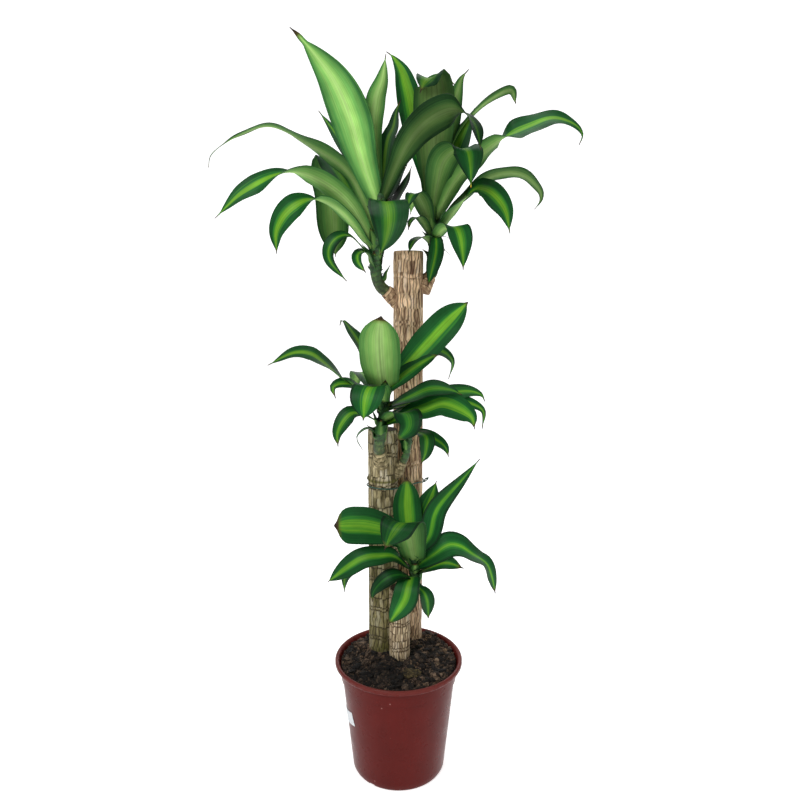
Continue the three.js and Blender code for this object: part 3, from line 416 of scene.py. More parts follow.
def add_sheet(bm, columns, rows, place):
    """A grid whose corners are put where place(corner, u, v) says in millimetres, u and v from 0 to 1."""
    corners = bmesh.ops.create_grid(bm, x_segments=columns, y_segments=rows, size=0.5)["verts"]
    for corner in corners:
        corner.co = place(corner, corner.co.x + 0.5, corner.co.y + 0.5) * MM
    return corners


def add_tube(bm, columns, rows, place):
    """A sheet rolled into a closed tube, put where place(corner, turn, v) says; returns its end caps."""
    corners = add_sheet(bm, columns, rows, lambda corner, u, v: place(corner, 2 * math.pi * (u % 1.0), v))
    bmesh.ops.remove_doubles(bm, verts=corners, dist=1e-6)
    kept = [v for v in corners if v.is_valid]
    rim = [e for e in {e for v in kept for e in v.link_edges} if e.is_boundary]
    caps = bmesh.ops.holes_fill(bm, edges=rim, sides=0)["faces"]
    faces = list({f for v in kept for f in v.link_faces})
    bmesh.ops.recalc_face_normals(bm, faces=faces)
    return caps


def make_object(bm, name, materials, sharp):
    """An object of a finished shape: smooth faces, sharp where they meet at more than the sharp angle."""
    for face in bm.faces:
        face.smooth = True
    for edge in bm.edges:
        edge.smooth = not (len(edge.link_faces) == 2 and edge.calc_face_angle(0) > sharp)
    mesh = bpy.data.meshes.new(name)
    bm.to_mesh(mesh)
    bm.free()
    for material in materials:
        mesh.materials.append(material)
    made = bpy.data.objects.new(name, mesh)
    bpy.context.scene.collection.objects.link(made)
    return made


def finish_piece(bm, name, materials, slot, *nodes, sharp=0.8):
    """Makes a piece that stands for a node of the frame, puts it under the root and hides that node; its slot
    is not used.
    """
    piece = make_object(bm, name, materials, sharp)
    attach(piece, "root")
    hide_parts(*nodes)


def finish_node(name, material):
    """Gives a node of the frame that stays in view its finished material."""
    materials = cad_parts[name].data.materials
    materials.clear()
    materials.append(material)


def join(tree, node, **inputs):
    """Gives a node's inputs values or other nodes' outputs. n0 is its first input."""
    for key, value in inputs.items():
        by_place = key[0] == "n" and key[1:].isdigit()
        socket = node.inputs[int(key[1:]) if by_place else key.replace("_", " ")]
        if isinstance(value, bpy.types.NodeSocket):
            tree.links.new(value, socket)
        else:
            socket.default_value = (*value, 1.0) if socket.type == "RGBA" else value


def add_node(tree, kind, settings=None, out=0, **inputs):
    """Adds a shader node with its settings and inputs, and returns one of its outputs."""
    node = tree.nodes.new(f"ShaderNode{kind}")
    for key, value in (settings or {}).items():
        if key == "stops":
            ramp = node.color_ramp.elements
            while len(ramp) < len(value):
                ramp.new(1.0)
            for stop, (place, colour) in zip(ramp, value):
                stop.position = place
                stop.color = (*colour, 1.0)
        else:
            setattr(node, key, value)
    join(tree, node, **inputs)
    return node.outputs[out]


def new_material(name):
    """A node material; returns it, its tree and its shader."""
    material = bpy.data.materials.new(name)
    material.use_nodes = True
    tree = material.node_tree
    return material, tree, next(n for n in tree.nodes if n.type == "BSDF_PRINCIPLED")


# ---- materials

def leaf_material(name, stops, rough, gloss, relief):
    """Waxy living leaf: a bright middle band broken into streaks along the veins, dark margins, fine
    parallel ribs and a dry tip, dark brown or still yellow. The whole colour is scaled by the leaf's
    tone, which is painted light and shade, and the band narrows with painted shade. The ribs are
    2.2 mm apart and the streaks 3 to 6 mm wide."""
    material, tree, shader = new_material(name)
    vein, run, seed, edge, dry, band, tone = (
        add_node(tree, "Attribute", {"attribute_name": key}, "Fac") for key in LEAF_LAYERS)
    place = add_node(tree, "CombineXYZ", X=vein, Y=run, Z=seed)
    noises = {}
    for key, (wide, long, unlike) in LEAF_NOISES.items():
        mapped = add_node(tree, "Mapping", Vector=place, Scale=(1 / wide, 1 / long, unlike))
        noises[key] = add_node(tree, "TexNoise", Vector=mapped, Scale=1.0, Detail=2.0, Roughness=0.55)
    # Painted shade: a lower band value narrows the bright band, so shaded leaves look darker.
    narrower = add_node(tree, "Math", {"operation": "MULTIPLY_ADD"}, n0=band, n1=-0.42, n2=0.42)
    streaked = add_node(tree, "Math", {"operation": "MULTIPLY_ADD"}, n0=noises["streak"], n1=0.95, n2=-0.47)
    banded = add_node(tree, "Math", {"operation": "ADD"}, n0=edge, n1=streaked)
    banded = add_node(tree, "Math", {"operation": "ADD"}, n0=banded, n1=narrower)
    colour = add_node(tree, "ValToRGB", {"stops": stops}, Fac=banded)
    # Painted light and shade: each leaf's colour is scaled by its tone, darker for leaves in shade and
    # lighter for lit or backlit ones.
    shades = [tone]
    for key, low, high in (("streak", 0.76, 1.14), ("fine", 0.8, 1.18), ("patch", 0.8, 1.18)):
        shades.append(add_node(
            tree, "MapRange", Value=noises[key], From_Min=0.3, From_Max=0.7, To_Min=low, To_Max=high))
    for shade in shades:
        colour = add_node(tree, "VectorMath", {"operation": "SCALE"}, n0=colour, Scale=shade)
    place_dry = add_node(tree, "Math", {"operation": "MULTIPLY_ADD"}, n0=dry, n1=0.5, n2=0.5)
    dead = add_node(tree, "ValToRGB", {"stops": stops_of(DRY_COLOURS)}, Fac=place_dry)
    dryness = add_node(tree, "Math", {"operation": "ABSOLUTE"}, n0=dry)
    spent = add_node(tree, "MapRange", Value=dryness, From_Min=0.0, From_Max=0.4)
    coat = add_node(tree, "Mix", {"data_type": "RGBA"}, 2, n0=spent, n6=colour, n7=dead)
    ribs = add_node(tree, "Math", {"operation": "MULTIPLY"}, n0=vein, n1=2 * math.pi / LEAF_RIB)
    wave = add_node(tree, "Math", {"operation": "SINE"}, n0=ribs)
    height = add_node(tree, "Math", {"operation": "MULTIPLY_ADD"}, n0=wave, n1=0.35, n2=noises["fine"])
    bump = add_node(tree, "Bump", Strength=relief, Distance=0.5 * MM, Height=height)
    surface_mix = add_node(tree, "MapRange", Value=noises["patch"], From_Min=0.3, From_Max=0.7,
                    To_Min=rough - 0.05, To_Max=rough + 0.07)
    join(tree, shader, Base_Color=coat, Normal=bump, Roughness=surface_mix, Specular_IOR_Level=gloss)
    return material


def bark_material(name, light, dark, film_reach, film_strength):
    """Dry cane bark: corky plates of unlike tones between dark fissures and growth rings, fine upright
    grain about 2 mm apart, and an olive film near the soil and on the swollen ring."""
    material, tree, shader = new_material(name)
    crack, plate, olive = (
        add_node(tree, "Attribute", {"attribute_name": key}, "Fac") for key in ("crack", "plate", "olive"))
    place = add_node(tree, "TexCoord", out="Object")
    drawn = add_node(tree, "Mapping", Vector=place, Scale=(1 / (2 * MM), 1 / (2 * MM), 1 / (16 * MM)))
    grain = add_node(tree, "TexNoise", Vector=drawn, Scale=1.0, Detail=4.0, Roughness=0.65)
    patch = add_node(tree, "TexNoise", Vector=place, Scale=1 / (31.25 * MM), Detail=3.0)
    mixed = add_node(tree, "Math", {"operation": "MULTIPLY_ADD"}, n0=grain, n1=0.9, n2=-0.45)
    mixed = add_node(tree, "Math", {"operation": "ADD"}, n0=mixed, n1=plate)
    body = add_node(tree, "ValToRGB", {"stops": [
        (0.0, dark), (0.3, blend(dark, light, 0.35)), (0.55, light), (0.95, blend(light, WHITE, 0.25)),
    ]}, Fac=mixed)
    tone = add_node(tree, "MapRange", Value=patch, From_Min=0.3, From_Max=0.7, To_Min=0.78, To_Max=1.16)
    toned = add_node(tree, "VectorMath", {"operation": "SCALE"}, n0=body, Scale=tone)
    height = add_node(tree, "SeparateXYZ", out="Z", Vector=place)
    foot = 200 * MM
    low = add_node(tree, "MapRange", {"interpolation_type": "SMOOTHSTEP"}, Value=height,
                   From_Min=foot, From_Max=foot + film_reach, To_Min=film_strength, To_Max=0.0)
    film = add_node(tree, "Math", {"operation": "MULTIPLY"}, n0=low, n1=patch)
    film = add_node(tree, "Math", {"operation": "ADD", "use_clamp": True}, n0=film, n1=olive)
    filmed = add_node(tree, "Mix", {"data_type": "RGBA"}, 2, n0=film, n6=toned, n7=linear("#62602A"))
    cracked = add_node(tree, "Mix", {"data_type": "RGBA"}, 2, n0=crack, n6=filmed, n7=scaled(dark, 0.4))
    bump = add_node(tree, "Bump", Strength=0.7, Distance=1.2 * MM, Height=grain)
    join(tree, shader, Base_Color=cracked, Normal=bump, Roughness=0.88, IOR=1.4)
    return material


def cut_wood_material():
    """A weathered cut end: dull dark brown wood with a fine uneven grain."""
    material, tree, shader = new_material("weathered cut wood")
    place = add_node(tree, "TexCoord", out="Object")
    grain = add_node(tree, "TexNoise", Vector=place, Scale=1 / (2.381 * MM), Detail=5.0)
    colour = add_node(tree, "ValToRGB", {"stops": stops_of([(0.3, "#241A15"), (0.7, "#5A4638")])}, Fac=grain)
    bump = add_node(tree, "Bump", Strength=0.5, Distance=1.0 * MM, Height=grain)
    join(tree, shader, Base_Color=colour, Normal=bump, Roughness=0.9)
    return material


def stem_material():
    """Young green stem: olive green with brown leaf scars, drier and browner at its foot."""
    material, tree, shader = new_material("young green stem")
    scar, share = (add_node(tree, "Attribute", {"attribute_name": key}, "Fac") for key in ("crack", "share"))
    place = add_node(tree, "TexCoord", out="Object")
    spots = add_node(tree, "TexNoise", Vector=place, Scale=1 / (7.692 * MM), Detail=3.0, Roughness=0.6)
    green, woody = (
        add_node(tree, "ValToRGB", {"stops": stops_of(zip((0.3, 0.5, 0.72), colours))}, Fac=spots)
        for colours in (("#1A3D1E", "#2A5828", "#4C7836"), ("#2A2A1A", "#44502A", "#6E6C40"))
    )
    foot = add_node(tree, "MapRange", {"interpolation_type": "SMOOTHSTEP"}, Value=share,
                    From_Min=0.0, From_Max=0.3, To_Min=0.8, To_Max=0.0)
    mixed = add_node(tree, "Mix", {"data_type": "RGBA"}, 2, n0=foot, n6=green, n7=woody)
    scarred = add_node(tree, "Mix", {"data_type": "RGBA"}, 2, n0=scar, n6=mixed, n7=linear("#33291A"))
    bump = add_node(tree, "Bump", Strength=0.5, Distance=0.8 * MM, Height=spots)
    join(tree, shader, Base_Color=scarred, Normal=bump, Roughness=0.6)
    return material


def pot_material(colour):
    """Moulded polypropylene, dark red: a satin skin with faint mottling, faint upright bands of painted
    reflection, a painted highlight along the rim, light scuffs and a few pale specks of dust and dried
    water about 2 mm across."""
    material, tree, shader = new_material("moulded polypropylene")
    place = add_node(tree, "TexCoord", out="Object")
    mottle = add_node(tree, "TexNoise", Vector=place, Scale=1 / (38.46 * MM), Detail=4.0)
    stops = [(0.3, scaled(colour, 0.93)), (0.7, scaled(colour, 1.07))]
    body = add_node(tree, "ValToRGB", {"stops": stops}, Fac=mottle)
    cells = add_node(tree, "TexVoronoi", Vector=place, Scale=1 / (14.286 * MM))
    near = add_node(tree, "MapRange", Value=cells, From_Min=0.05, From_Max=0.11, To_Min=1.0, To_Max=0.0)
    chosen = add_node(tree, "SeparateColor", Color=cells.node.outputs["Color"])
    some = add_node(tree, "Math", {"operation": "GREATER_THAN"}, n0=chosen, n1=0.9)
    speck = add_node(tree, "Math", {"operation": "MULTIPLY"}, n0=near, n1=some)
    speck = add_node(tree, "Math", {"operation": "MULTIPLY"}, n0=speck, n1=0.75)
    spotted = add_node(tree, "Mix", {"data_type": "RGBA"}, 2, n0=speck, n6=body, n7=linear("#B5807A"))
    # Painted reflection: faint upright bands, like soft lights seen in the plastic, lighten and darken the
    # red by up to 6 per cent.
    drawn = add_node(tree, "Mapping", Vector=place, Scale=(1 / (35 * MM), 1 / (35 * MM), 1 / (900 * MM)))
    painted_reflection_bands = add_node(tree, "TexNoise", Vector=drawn, Scale=1.0, Detail=3.0)
    painted_reflection_bands = add_node(tree, "MapRange", Value=painted_reflection_bands, From_Min=0.3, From_Max=0.7, To_Min=0.94, To_Max=1.06)
    banded = add_node(tree, "VectorMath", {"operation": "SCALE"}, n0=spotted, Scale=painted_reflection_bands)
    height = add_node(tree, "SeparateXYZ", out="Z", Vector=place)
    # Painted highlight: the top 8 mm of the rim is mixed up to 30 per cent towards a paler red, as if lit
    # from above.
    rim_top = POT["height"] * MM
    painted_rim_highlight = add_node(tree, "MapRange", Value=height, From_Min=rim_top - POT["rim_depth"] * MM,
                      From_Max=rim_top, To_Min=0.0, To_Max=0.3)
    surface_mix = add_node(tree, "Mix", {"data_type": "RGBA"}, 2, n0=painted_rim_highlight, n6=banded, n7=linear("#9A5A54"))
    scuff = add_node(tree, "TexNoise", Vector=place, Scale=1 / (16.667 * MM), Detail=6.0)
    rough = add_node(tree, "MapRange", Value=scuff, From_Min=0.35, From_Max=0.7, To_Min=0.26, To_Max=0.36)
    fine = add_node(tree, "TexNoise", Vector=place, Scale=1 / (1.111 * MM), Detail=3.0)
    bump = add_node(tree, "Bump", Strength=0.03, Distance=0.4 * MM, Height=fine)
    join(tree, shader, Base_Color=surface_mix, Normal=bump, Roughness=rough, Specular_IOR_Level=0.09)
    return material


def soil_material(name, dark, mid, light):
    """Damp potting mix of peat and bark: near black crumbs of 2 to 6 mm with brown and grey chips,
    darker in damp patches, and darkened at the front by painted shade."""
    material, tree, shader = new_material(name)
    dark, mid, light = map(linear, (dark, mid, light))
    tone = add_node(tree, "Attribute", {"attribute_name": "tone"}, "Fac")
    place = add_node(tree, "TexCoord", out="Object")
    crumbs = add_node(tree, "TexNoise", Vector=place, Scale=1 / (3.0303 * MM), Detail=6.0, Roughness=0.7)
    mixed = add_node(tree, "Math", {"operation": "ADD"}, n0=crumbs, n1=tone)
    colour = add_node(tree, "ValToRGB", {"stops": [
        (0.4, dark), (0.53, mid), (0.68, light), (0.9, scaled(light, 1.8)),
    ]}, Fac=mixed)
    patch = add_node(tree, "TexNoise", Vector=place, Scale=1 / (33.333 * MM), Detail=3.0)
    damp = add_node(tree, "MapRange", Value=patch, From_Min=0.35, From_Max=0.65, To_Min=0.34, To_Max=1.3)
    # Painted shade: within 20 mm of the front place the colour is darkened to 45 per cent, fading out by 60
    # mm; the damp patches are the soil's own.
    away = add_node(tree, "VectorMath", {"operation": "DISTANCE"}, "Value", n0=place, n1=FRONT_SHADE_PLACE)
    painted_front_shade = add_node(tree, "MapRange", Value=away, From_Min=20 * MM, From_Max=60 * MM, To_Min=0.45, To_Max=1.0)
    damp = add_node(tree, "Math", {"operation": "MULTIPLY"}, n0=damp, n1=painted_front_shade)
    damp_and_shade_colour = add_node(tree, "VectorMath", {"operation": "SCALE"}, n0=colour, Scale=damp)
    bump = add_node(tree, "Bump", Strength=0.9, Distance=2.0 * MM, Height=crumbs)
    join(tree, shader, Base_Color=damp_and_shade_colour, Normal=bump, Roughness=0.92)
    return material


def plain_material(name, colour, rough, grain_size, relief, vary=0.1, glow=0.0):
    """A coated or papery surface: one colour with slight mottling and a fine grain."""
    material, tree, shader = new_material(name)
    colour = linear(colour)
    place = add_node(tree, "TexCoord", out="Object")
    grain = add_node(tree, "TexNoise", Vector=place, Scale=1 / (grain_size * MM), Detail=4.0)
    body = add_node(tree, "ValToRGB", {"stops": [
        (0.3, scaled(colour, 1 - vary)), (0.7, scaled(colour, 1 + vary)),
    ]}, Fac=grain)
    bump = add_node(tree, "Bump", Strength=relief, Distance=0.5 * MM, Height=grain)
    join(tree, shader, Base_Color=body, Normal=bump, Roughness=rough)
    if glow:
        join(tree, shader, Emission_Color=WHITE, Emission_Strength=glow)
    return material


# ---- what a user would change

class CornPlantSizes(bpy.types.PropertyGroup):
    leaf_thickness: bpy.props.FloatProperty(
        name="Leaf thickness", description="Thickness of a leaf blade", default=0.0008, min=0.0003, max=0.002,
        precision=4, subtype="DISTANCE", unit="LENGTH")
    edge_wave: bpy.props.FloatProperty(
        name="Edge wave", description="How far the edges of the broadest leaves wave", default=0.0022,
        min=0.0, max=0.006, precision=4, subtype="DISTANCE", unit="LENGTH")
    bark_depth: bpy.props.FloatProperty(
        name="Bark depth", description="Depth of the fissures in the bark", default=0.0009, min=0.0,
        max=0.003, precision=4, subtype="DISTANCE", unit="LENGTH")
    soil_chips: bpy.props.IntProperty(
        name="Soil chips", description="Chips of bark lying on the soil", default=1000, min=0, max=3000)
    seed: bpy.props.IntProperty(
        name="Seed", description="Start of everything that varies", default=11, min=0)


class CornPlantColours(bpy.types.PropertyGroup):
    leaf_stripe: bpy.props.FloatVectorProperty(
        name="Leaf stripe", description="Bright middle of a leaf", default=linear("#74AE2E"), subtype="COLOR",
        min=0.0, max=1.0)
    leaf_margin: bpy.props.FloatVectorProperty(
        name="Leaf margin", description="Dark sides of a leaf", default=linear("#165123"), subtype="COLOR",
        min=0.0, max=1.0)
    under_stripe: bpy.props.FloatVectorProperty(
        name="Underside stripe", description="Middle of a leaf's underside", default=linear("#9AC070"),
        subtype="COLOR", min=0.0, max=1.0)
    under_margin: bpy.props.FloatVectorProperty(
        name="Underside margin", description="Sides of a leaf's underside", default=linear("#417337"),
        subtype="COLOR", min=0.0, max=1.0)
    pot: bpy.props.FloatVectorProperty(
        name="Pot", description="Plastic of the nursery pot", default=linear("#5B1713"), subtype="COLOR",
        min=0.0, max=1.0)
    bark: bpy.props.FloatVectorProperty(
        name="Bark", description="Plates of the tall cane's bark", default=linear("#F4D0A6"), subtype="COLOR",
        min=0.0, max=1.0)


# ---- leaves and stems

def blade_width(share, wide, shape):
    """A leaf's width at a share of its length: it grows from its root to its belly and narrows to its
    drip tip."""
    belly, drip = shape.get("belly", 0.5), shape.get("drip", 0.97)
    grown = smoothstep(share / belly)
    past = min(max((share - belly) / (drip - belly), 0.0), 1.0)
    root = shape.get("root", 0.42)
    thin = lerp(shape.get("thin", 2.0), 1.2, smoothstep(share, drip, 1.0))
    return max(thin, wide * (root + (1 - root) * grown) * (1 - past ** shape.get("tip", 2.0)))


def blade_stations(run, side, rows, wide, shape):
    """A leaf's middle, its directions across and out of its face, and half its width, row by row."""
    found = []
    for row in range(rows + 1):
        share = row / rows
        along = run.heading(share)
        flat = (side - side.dot(along) * along).normalized()
        up = along.cross(flat)
        roll = math.radians(steps_of(shape.get("roll", [0, 0]), share))
        across = flat * math.cos(roll) + up * math.sin(roll)
        face = up * math.cos(roll) - flat * math.sin(roll)
        found.append((run.at(share), across, face, blade_width(share, wide, shape) / 2))
    return found


def add_blade(bm, layers, stem, leaf, chance, sizes):
    """One leaf: a sheet along its route, creased along its middle, waved at its edges and given a
    thickness, with what its colours follow kept on its corners."""
    _, at, turn, wide, route, *rest = leaf
    shape = rest[0] if rest else {}
    start = stem.at(at)
    run = Run([start, *(start + Vector(step) for step in route)])
    heading = math.radians(turn)
    side = Vector((-math.sin(heading), math.cos(heading), 0))
    rows = max(14, round(run.length / LEAF_ROW))
    columns = 12 if wide >= 40 else 8
    thickness = sizes.leaf_thickness
    seed = chance.random()
    waves = max(1.0, run.length / chance.uniform(62, 90))
    phase = (chance.uniform(0, FULL_TURN), chance.uniform(0, FULL_TURN))
    swell = sizes.edge_wave / MM * min(1.0, wide / 60) * chance.uniform(0.6, 1.0)
    dry = shape.get("dry", chance.choice((7, 10, 14)))
    dry_from = 1 - abs(dry) / run.length
    # The band and tone given in the shoot tables carry painted light and shade; the random ones are the
    # leaf's own variation.
    band = shape.get("band", chance.uniform(0.75, 1.05))
    tone = shape.get("tone", chance.uniform(0.85, 1.1))
    gutter = shape.get("gutter", 0.22)
    stations = blade_stations(run, side, rows, wide, shape)

    def place(corner, u, v):
        row = round(v * rows)
        middle, across, face, half = stations[row]
        share = row / rows
        c = 1 - 2 * u
        crease = (math.sqrt(c * c + 0.02) - 0.1414) / 0.869
        clasp = 0.55 * (1 - smoothstep(share, 0.0, 0.14))
        rise = (gutter * (1 - 0.6 * share) + clasp) * half * crease
        side_phase = phase[0] if c > 0 else phase[1]
        calm = smoothstep(share, 0.08, 0.3) * (1 - smoothstep(share, 0.8, 1.0))
        wave = swell * calm * abs(c) ** 2.5 * math.sin(2 * math.pi * waves * share + side_phase)
        dried = math.copysign(smoothstep(share, dry_from, 1.0), dry)
        kept = (c * wide / 2, share * run.length, seed, abs(c), dried, band, tone)
        for key, value in zip(LEAF_LAYERS, kept):
            corner[layers[key]] = value
        corner[layers["out"]] = face
        return middle + across * half * c + face * (rise + wave + thickness / MM / 2)

    sheet = add_sheet(bm, columns, rows, place)
    faces = list({f for v in sheet for f in v.link_faces})
    far = bmesh.ops.extrude_face_region(bm, geom=faces)["geom"]
    for item in far:
        if isinstance(item, bmesh.types.BMVert):
            item.co -= item[layers["out"]] * thickness
        elif isinstance(item, bmesh.types.BMFace):
            item.material_index = 1
    shell = {f for v in sheet for f in v.link_faces} | {f for f in far if isinstance(f, bmesh.types.BMFace)}
    bmesh.ops.recalc_face_normals(bm, faces=list(shell))


def sheaths(stem, radii, chance):
    """Short clasping leaf bases set round a stem, left where the lower leaves have gone."""
    count = round(stem.length / SHEATH_EVERY)
    found = []
    for index in range(count):
        at = 0.1 + 0.75 * index / count
        turn = GOLDEN_TURN * index + chance.uniform(-20, 20)
        ahead = Vector((math.cos(math.radians(turn)), math.sin(math.radians(turn)), 0))
        radius = lerp(*radii, at)
        reach = chance.uniform(26, 44)
        route = [ahead * (radius + bulge) + Vector((0, 0, reach * share))
                 for bulge, share in ((1.5, 0.2), (4.0, 0.6), (chance.uniform(6.0, 16.0), 1.0))]
        shape = {"root": 0.9, "belly": 0.4, "tip": 1.6, "gutter": 0.8, "dry": chance.choice((3, 6, 10)),
                 "band": chance.uniform(0.0, 0.6), "tone": chance.uniform(0.6, 1.0)}
        found.append(("leaf base", at, turn, 2.3 * radius, route, shape))
    return found


def add_stem(bm, crack, share, stem, radii):
    """A green stem ringed with leaf scars, with a rounded top."""

    def place(corner, turn, v):
        out = outward(stem.heading(v), turn)
        spot = stem.at(v)
        ring = math.sin(2 * math.pi * (v * stem.length / SCAR_EVERY + 0.25 * math.sin(turn + 5 * v)))
        corner[crack] = 0.75 * smoothstep(ring, 0.8, 1.0)
        corner[share] = v
        end = math.sqrt(max(0.0, 1 - smoothstep(v, 0.96, 1.0) * 0.75))
        radius = lerp(*radii, v) * end - 0.35 * smoothstep(ring, 0.7, 1.0)
        radius += 0.35 * noise.noise(spot * 0.12 + out)
        return spot + out * radius

    add_tube(bm, 32, round(stem.length / STEM_ROW), place)


def add_root(bm, crack, points):
    """A thin brown aerial root through the given points."""
    run = Run(points)

    def place(corner, turn, v):
        corner[crack] = 0.85
        return run.at(v) + outward(run.heading(v), turn) * ROOT_RADIUS * (1 - 0.6 * v)

    add_tube(bm, 8, 24, place)


def build_shoot(name, sizes, leaf_faces, stem_skin):
    """A shoot: its ringed green stem and its leaves, standing for the frame's shoot."""
    shoot = SHOOTS[name]
    stem = Run(shoot["stem"])
    chance = random.Random(sizes.seed + sum(map(ord, name)))
    bm = bmesh.new()
    layers = {key: bm.verts.layers.float.new(key) for key in LEAF_LAYERS}
    layers["out"] = bm.verts.layers.float_vector.new("out")
    for leaf in [*shoot["leaves"], *sheaths(stem, shoot["radii"], chance)]:
        add_blade(bm, layers, stem, leaf, chance, sizes)
    bm.verts.layers.float_vector.remove(layers["out"])
    finish_piece(bm, f"leaves_{name}", leaf_faces, "leaf", f"shoot_{name}", sharp=1.3)
    bm = bmesh.new()
    crack, share = (bm.verts.layers.float.new(key) for key in ("crack", "share"))
    add_stem(bm, crack, share, stem, shoot["radii"])
    for points in AERIAL_ROOTS.get(name, ()):
        add_root(bm, crack, points)
    finish_piece(bm, f"stem_{name}", [stem_skin], "leaf", f"shoot_{name}")


# ---- canes

def cane_middle(cane, z):
    """The middle of a cane at a height."""
    share = (z - cane["bottom"][2]) / (cane["top"][2] - cane["bottom"][2])
    return Vector(cane["bottom"]).lerp(Vector(cane["top"]), share)


def bark_at(cane, turn, z, depth):
    """How far the bark stands in or out at a place on a cane, how deep in a crack that place is, how
    light its plate is and how much of the swollen ring it is on."""
    radius, pattern = cane["radius"], cane["pattern"]
    offset = Vector((0, 0, 57.0 * pattern))
    around = Vector((math.cos(turn), math.sin(turn), 0)) * radius

    def lumps(wide, tall, side):
        return noise.noise(Vector((around.x / wide, around.y / wide, z / tall)) + side * offset)

    count = round(2 * math.pi * radius / cane["plate"])
    step = 2 * math.pi / count
    column = math.floor(turn / step + 40)
    ragged = noise.noise(Vector((0.731 * (column % count) + 0.5, 0.3, pattern)))
    place = (z + 3.0 * lumps(22, 60, 1) + 3.4 * ragged) / cane["ring"]
    place += 0.2 * math.sin(2.1 * math.floor(place) + pattern)
    ring = math.floor(place)
    away = (place - ring) * cane["ring"]
    away = min(away, cane["ring"] - away)
    groove = math.exp(-((away / 1.2) ** 2)) * cane["ring_depth"]
    shift = cane["shift"] * noise.noise(Vector((0.37, 0.71, 1.9 * ring)) + offset)
    spot = turn / step + shift + 0.55 * lumps(7, 17, -1) + 40
    plate = math.floor(spot)
    edge = min(spot - plate, 1 - spot + plate) * cane["plate"]
    key = Vector((0.831 * (plate % count) + 0.5, 0.977 * cane["fresh"] * ring + 0.5, pattern))
    half_fissure = cane["fissure"] * (1.1 + 0.9 * noise.noise(key * 1.7))
    fissure = math.exp(-((edge / half_fissure) ** 2))
    hairline = max(0.0, 1 - abs(lumps(2.4, 16, -1)) / 0.11)
    crack = max(fissure, 0.55 * hairline, groove)
    light = 0.5 + cane["unlike"] * noise.noise(key) + 0.3 * lumps(5, 24, 1)
    swell = 0.5 * noise.noise(key * 3.1) + 0.4 * lumps(11, 19, -1)
    out = -depth * (0.95 * fissure + 0.3 * hairline + 0.9 * groove) + swell * (1 - fissure)
    olive = 0.0
    if "swollen" in cane:
        high = (z - cane["swollen"] - 1.5 * math.sin(turn)) / 2.6
        olive = math.exp(-high * high)
        out += 2.6 * olive
    uneven = radius * 0.012 * (math.cos(2 * turn + pattern) - 1) / 2
    return out + uneven, min(1.0, crack), light, 0.85 * olive


def add_collar(bm, crack, plate, shoot):
    """The folded woody collar that a cane makes round the foot of a shoot."""
    stem = Run(shoot["stem"])
    along = stem.heading(0.0)
    outer = stem.at(0.0) - along * GAP
    inner = outer - along * (shoot["collar"] - GAP)
    thin, thick = (shoot["radii"][0] + share * COLLAR_FLARE for share in (1, 3))

    def place(corner, turn, v):
        lumps = noise.noise(Vector((2.2 * math.cos(turn), 2.2 * math.sin(turn), 5 * v)))
        fold = math.sin(2 * math.pi * (v * 3.2 + 0.1 * lumps))
        corner[crack] = 0.8 * smoothstep(-fold, 0.7, 1.0)
        corner[plate] = 0.3 + 0.4 * lumps
        radius = lerp(thick, thin, v) + 0.9 * lumps - 0.5 * smoothstep(-fold, 0.6, 1.0)
        radius -= 1.2 * smoothstep(v, 0.93, 1.0)
        return inner.lerp(outer, v) + outward(along, turn) * radius

    add_tube(bm, 40, 26, place)


def build_cane(name, sizes, bark, cut):
    """A cane: fissured bark with growth rings, a sealed cut top and its woody collars."""
    cane = CANES[name]
    bm = bmesh.new()
    crack, plate, olive = (bm.verts.layers.float.new(key) for key in ("crack", "plate", "olive"))
    low, high = cane["bottom"][2], cane["top"][2]
    shown = SOIL_WALL_Z - 4
    rows = round((high - shown) / BARK_ROW) + 1

    def place(corner, turn, v):
        row = round(v * rows)
        z = low if row == 0 else lerp(shown, high, (row - 1) / (rows - 1))
        out, corner[crack], corner[plate], corner[olive] = bark_at(cane, turn, z, sizes.bark_depth / MM)
        radius = cane["radius"] - 0.1 + out - 1.2 * smoothstep(z, high - 2.4, high)
        return cane_middle(cane, z) + Vector((radius * math.cos(turn), radius * math.sin(turn), 0))

    caps = add_tube(bm, cane["columns"], rows, place)
    insets = bmesh.ops.inset_individual(bm, faces=caps, thickness=1.5 * MM, depth=0)["faces"]
    for cap in [*insets, *caps]:
        cap.material_index = 1
    for shoot in SHOOTS.values():
        if shoot["cane"] == name:
            add_collar(bm, crack, plate, shoot)
    finish_piece(bm, f"bark_{name}", [bark, cut], cane["slot"], f"cane_{name}", sharp=1.2)


# ---- soil

def soil_height(x, y):
    """The height of the soil's top: mounded round the canes, lumpy, with two low heaps."""
    reach = math.hypot(x, y) / POT["neck_radius"]
    mound = SOIL_MOUND * (1 - smoothstep(reach, 0.25, 1))
    fade = 1 - smoothstep(reach, 0.86, 1)
    lumps = math.sin(0.115 * x + 0.7) * math.cos(0.097 * y - 0.4) + 0.6 * math.sin(0.21 * y + 0.16 * x)
    height = SOIL_WALL_Z + mound + SOIL_LUMP * lumps * (0.3 + 0.7 * fade)
    for heap in SOIL_HEAPS:
        aside, back = ((p - q) / wide for p, q, wide in zip((x, y), heap["place"], heap["wide"]))
        height += heap["high"] * math.exp(-aside * aside - back * back)
    return height


def clods(spot):
    """The noise of the soil's larger clods, from -1 to 1."""
    return noise.noise(spot * 0.055 + Vector((3, 8, 1)))


def wall_radius(z):
    """The pot wall's outer radius at a height."""
    return lerp(POT["base_radius"], POT["wall_top_radius"], z / POT["ledge_z"])


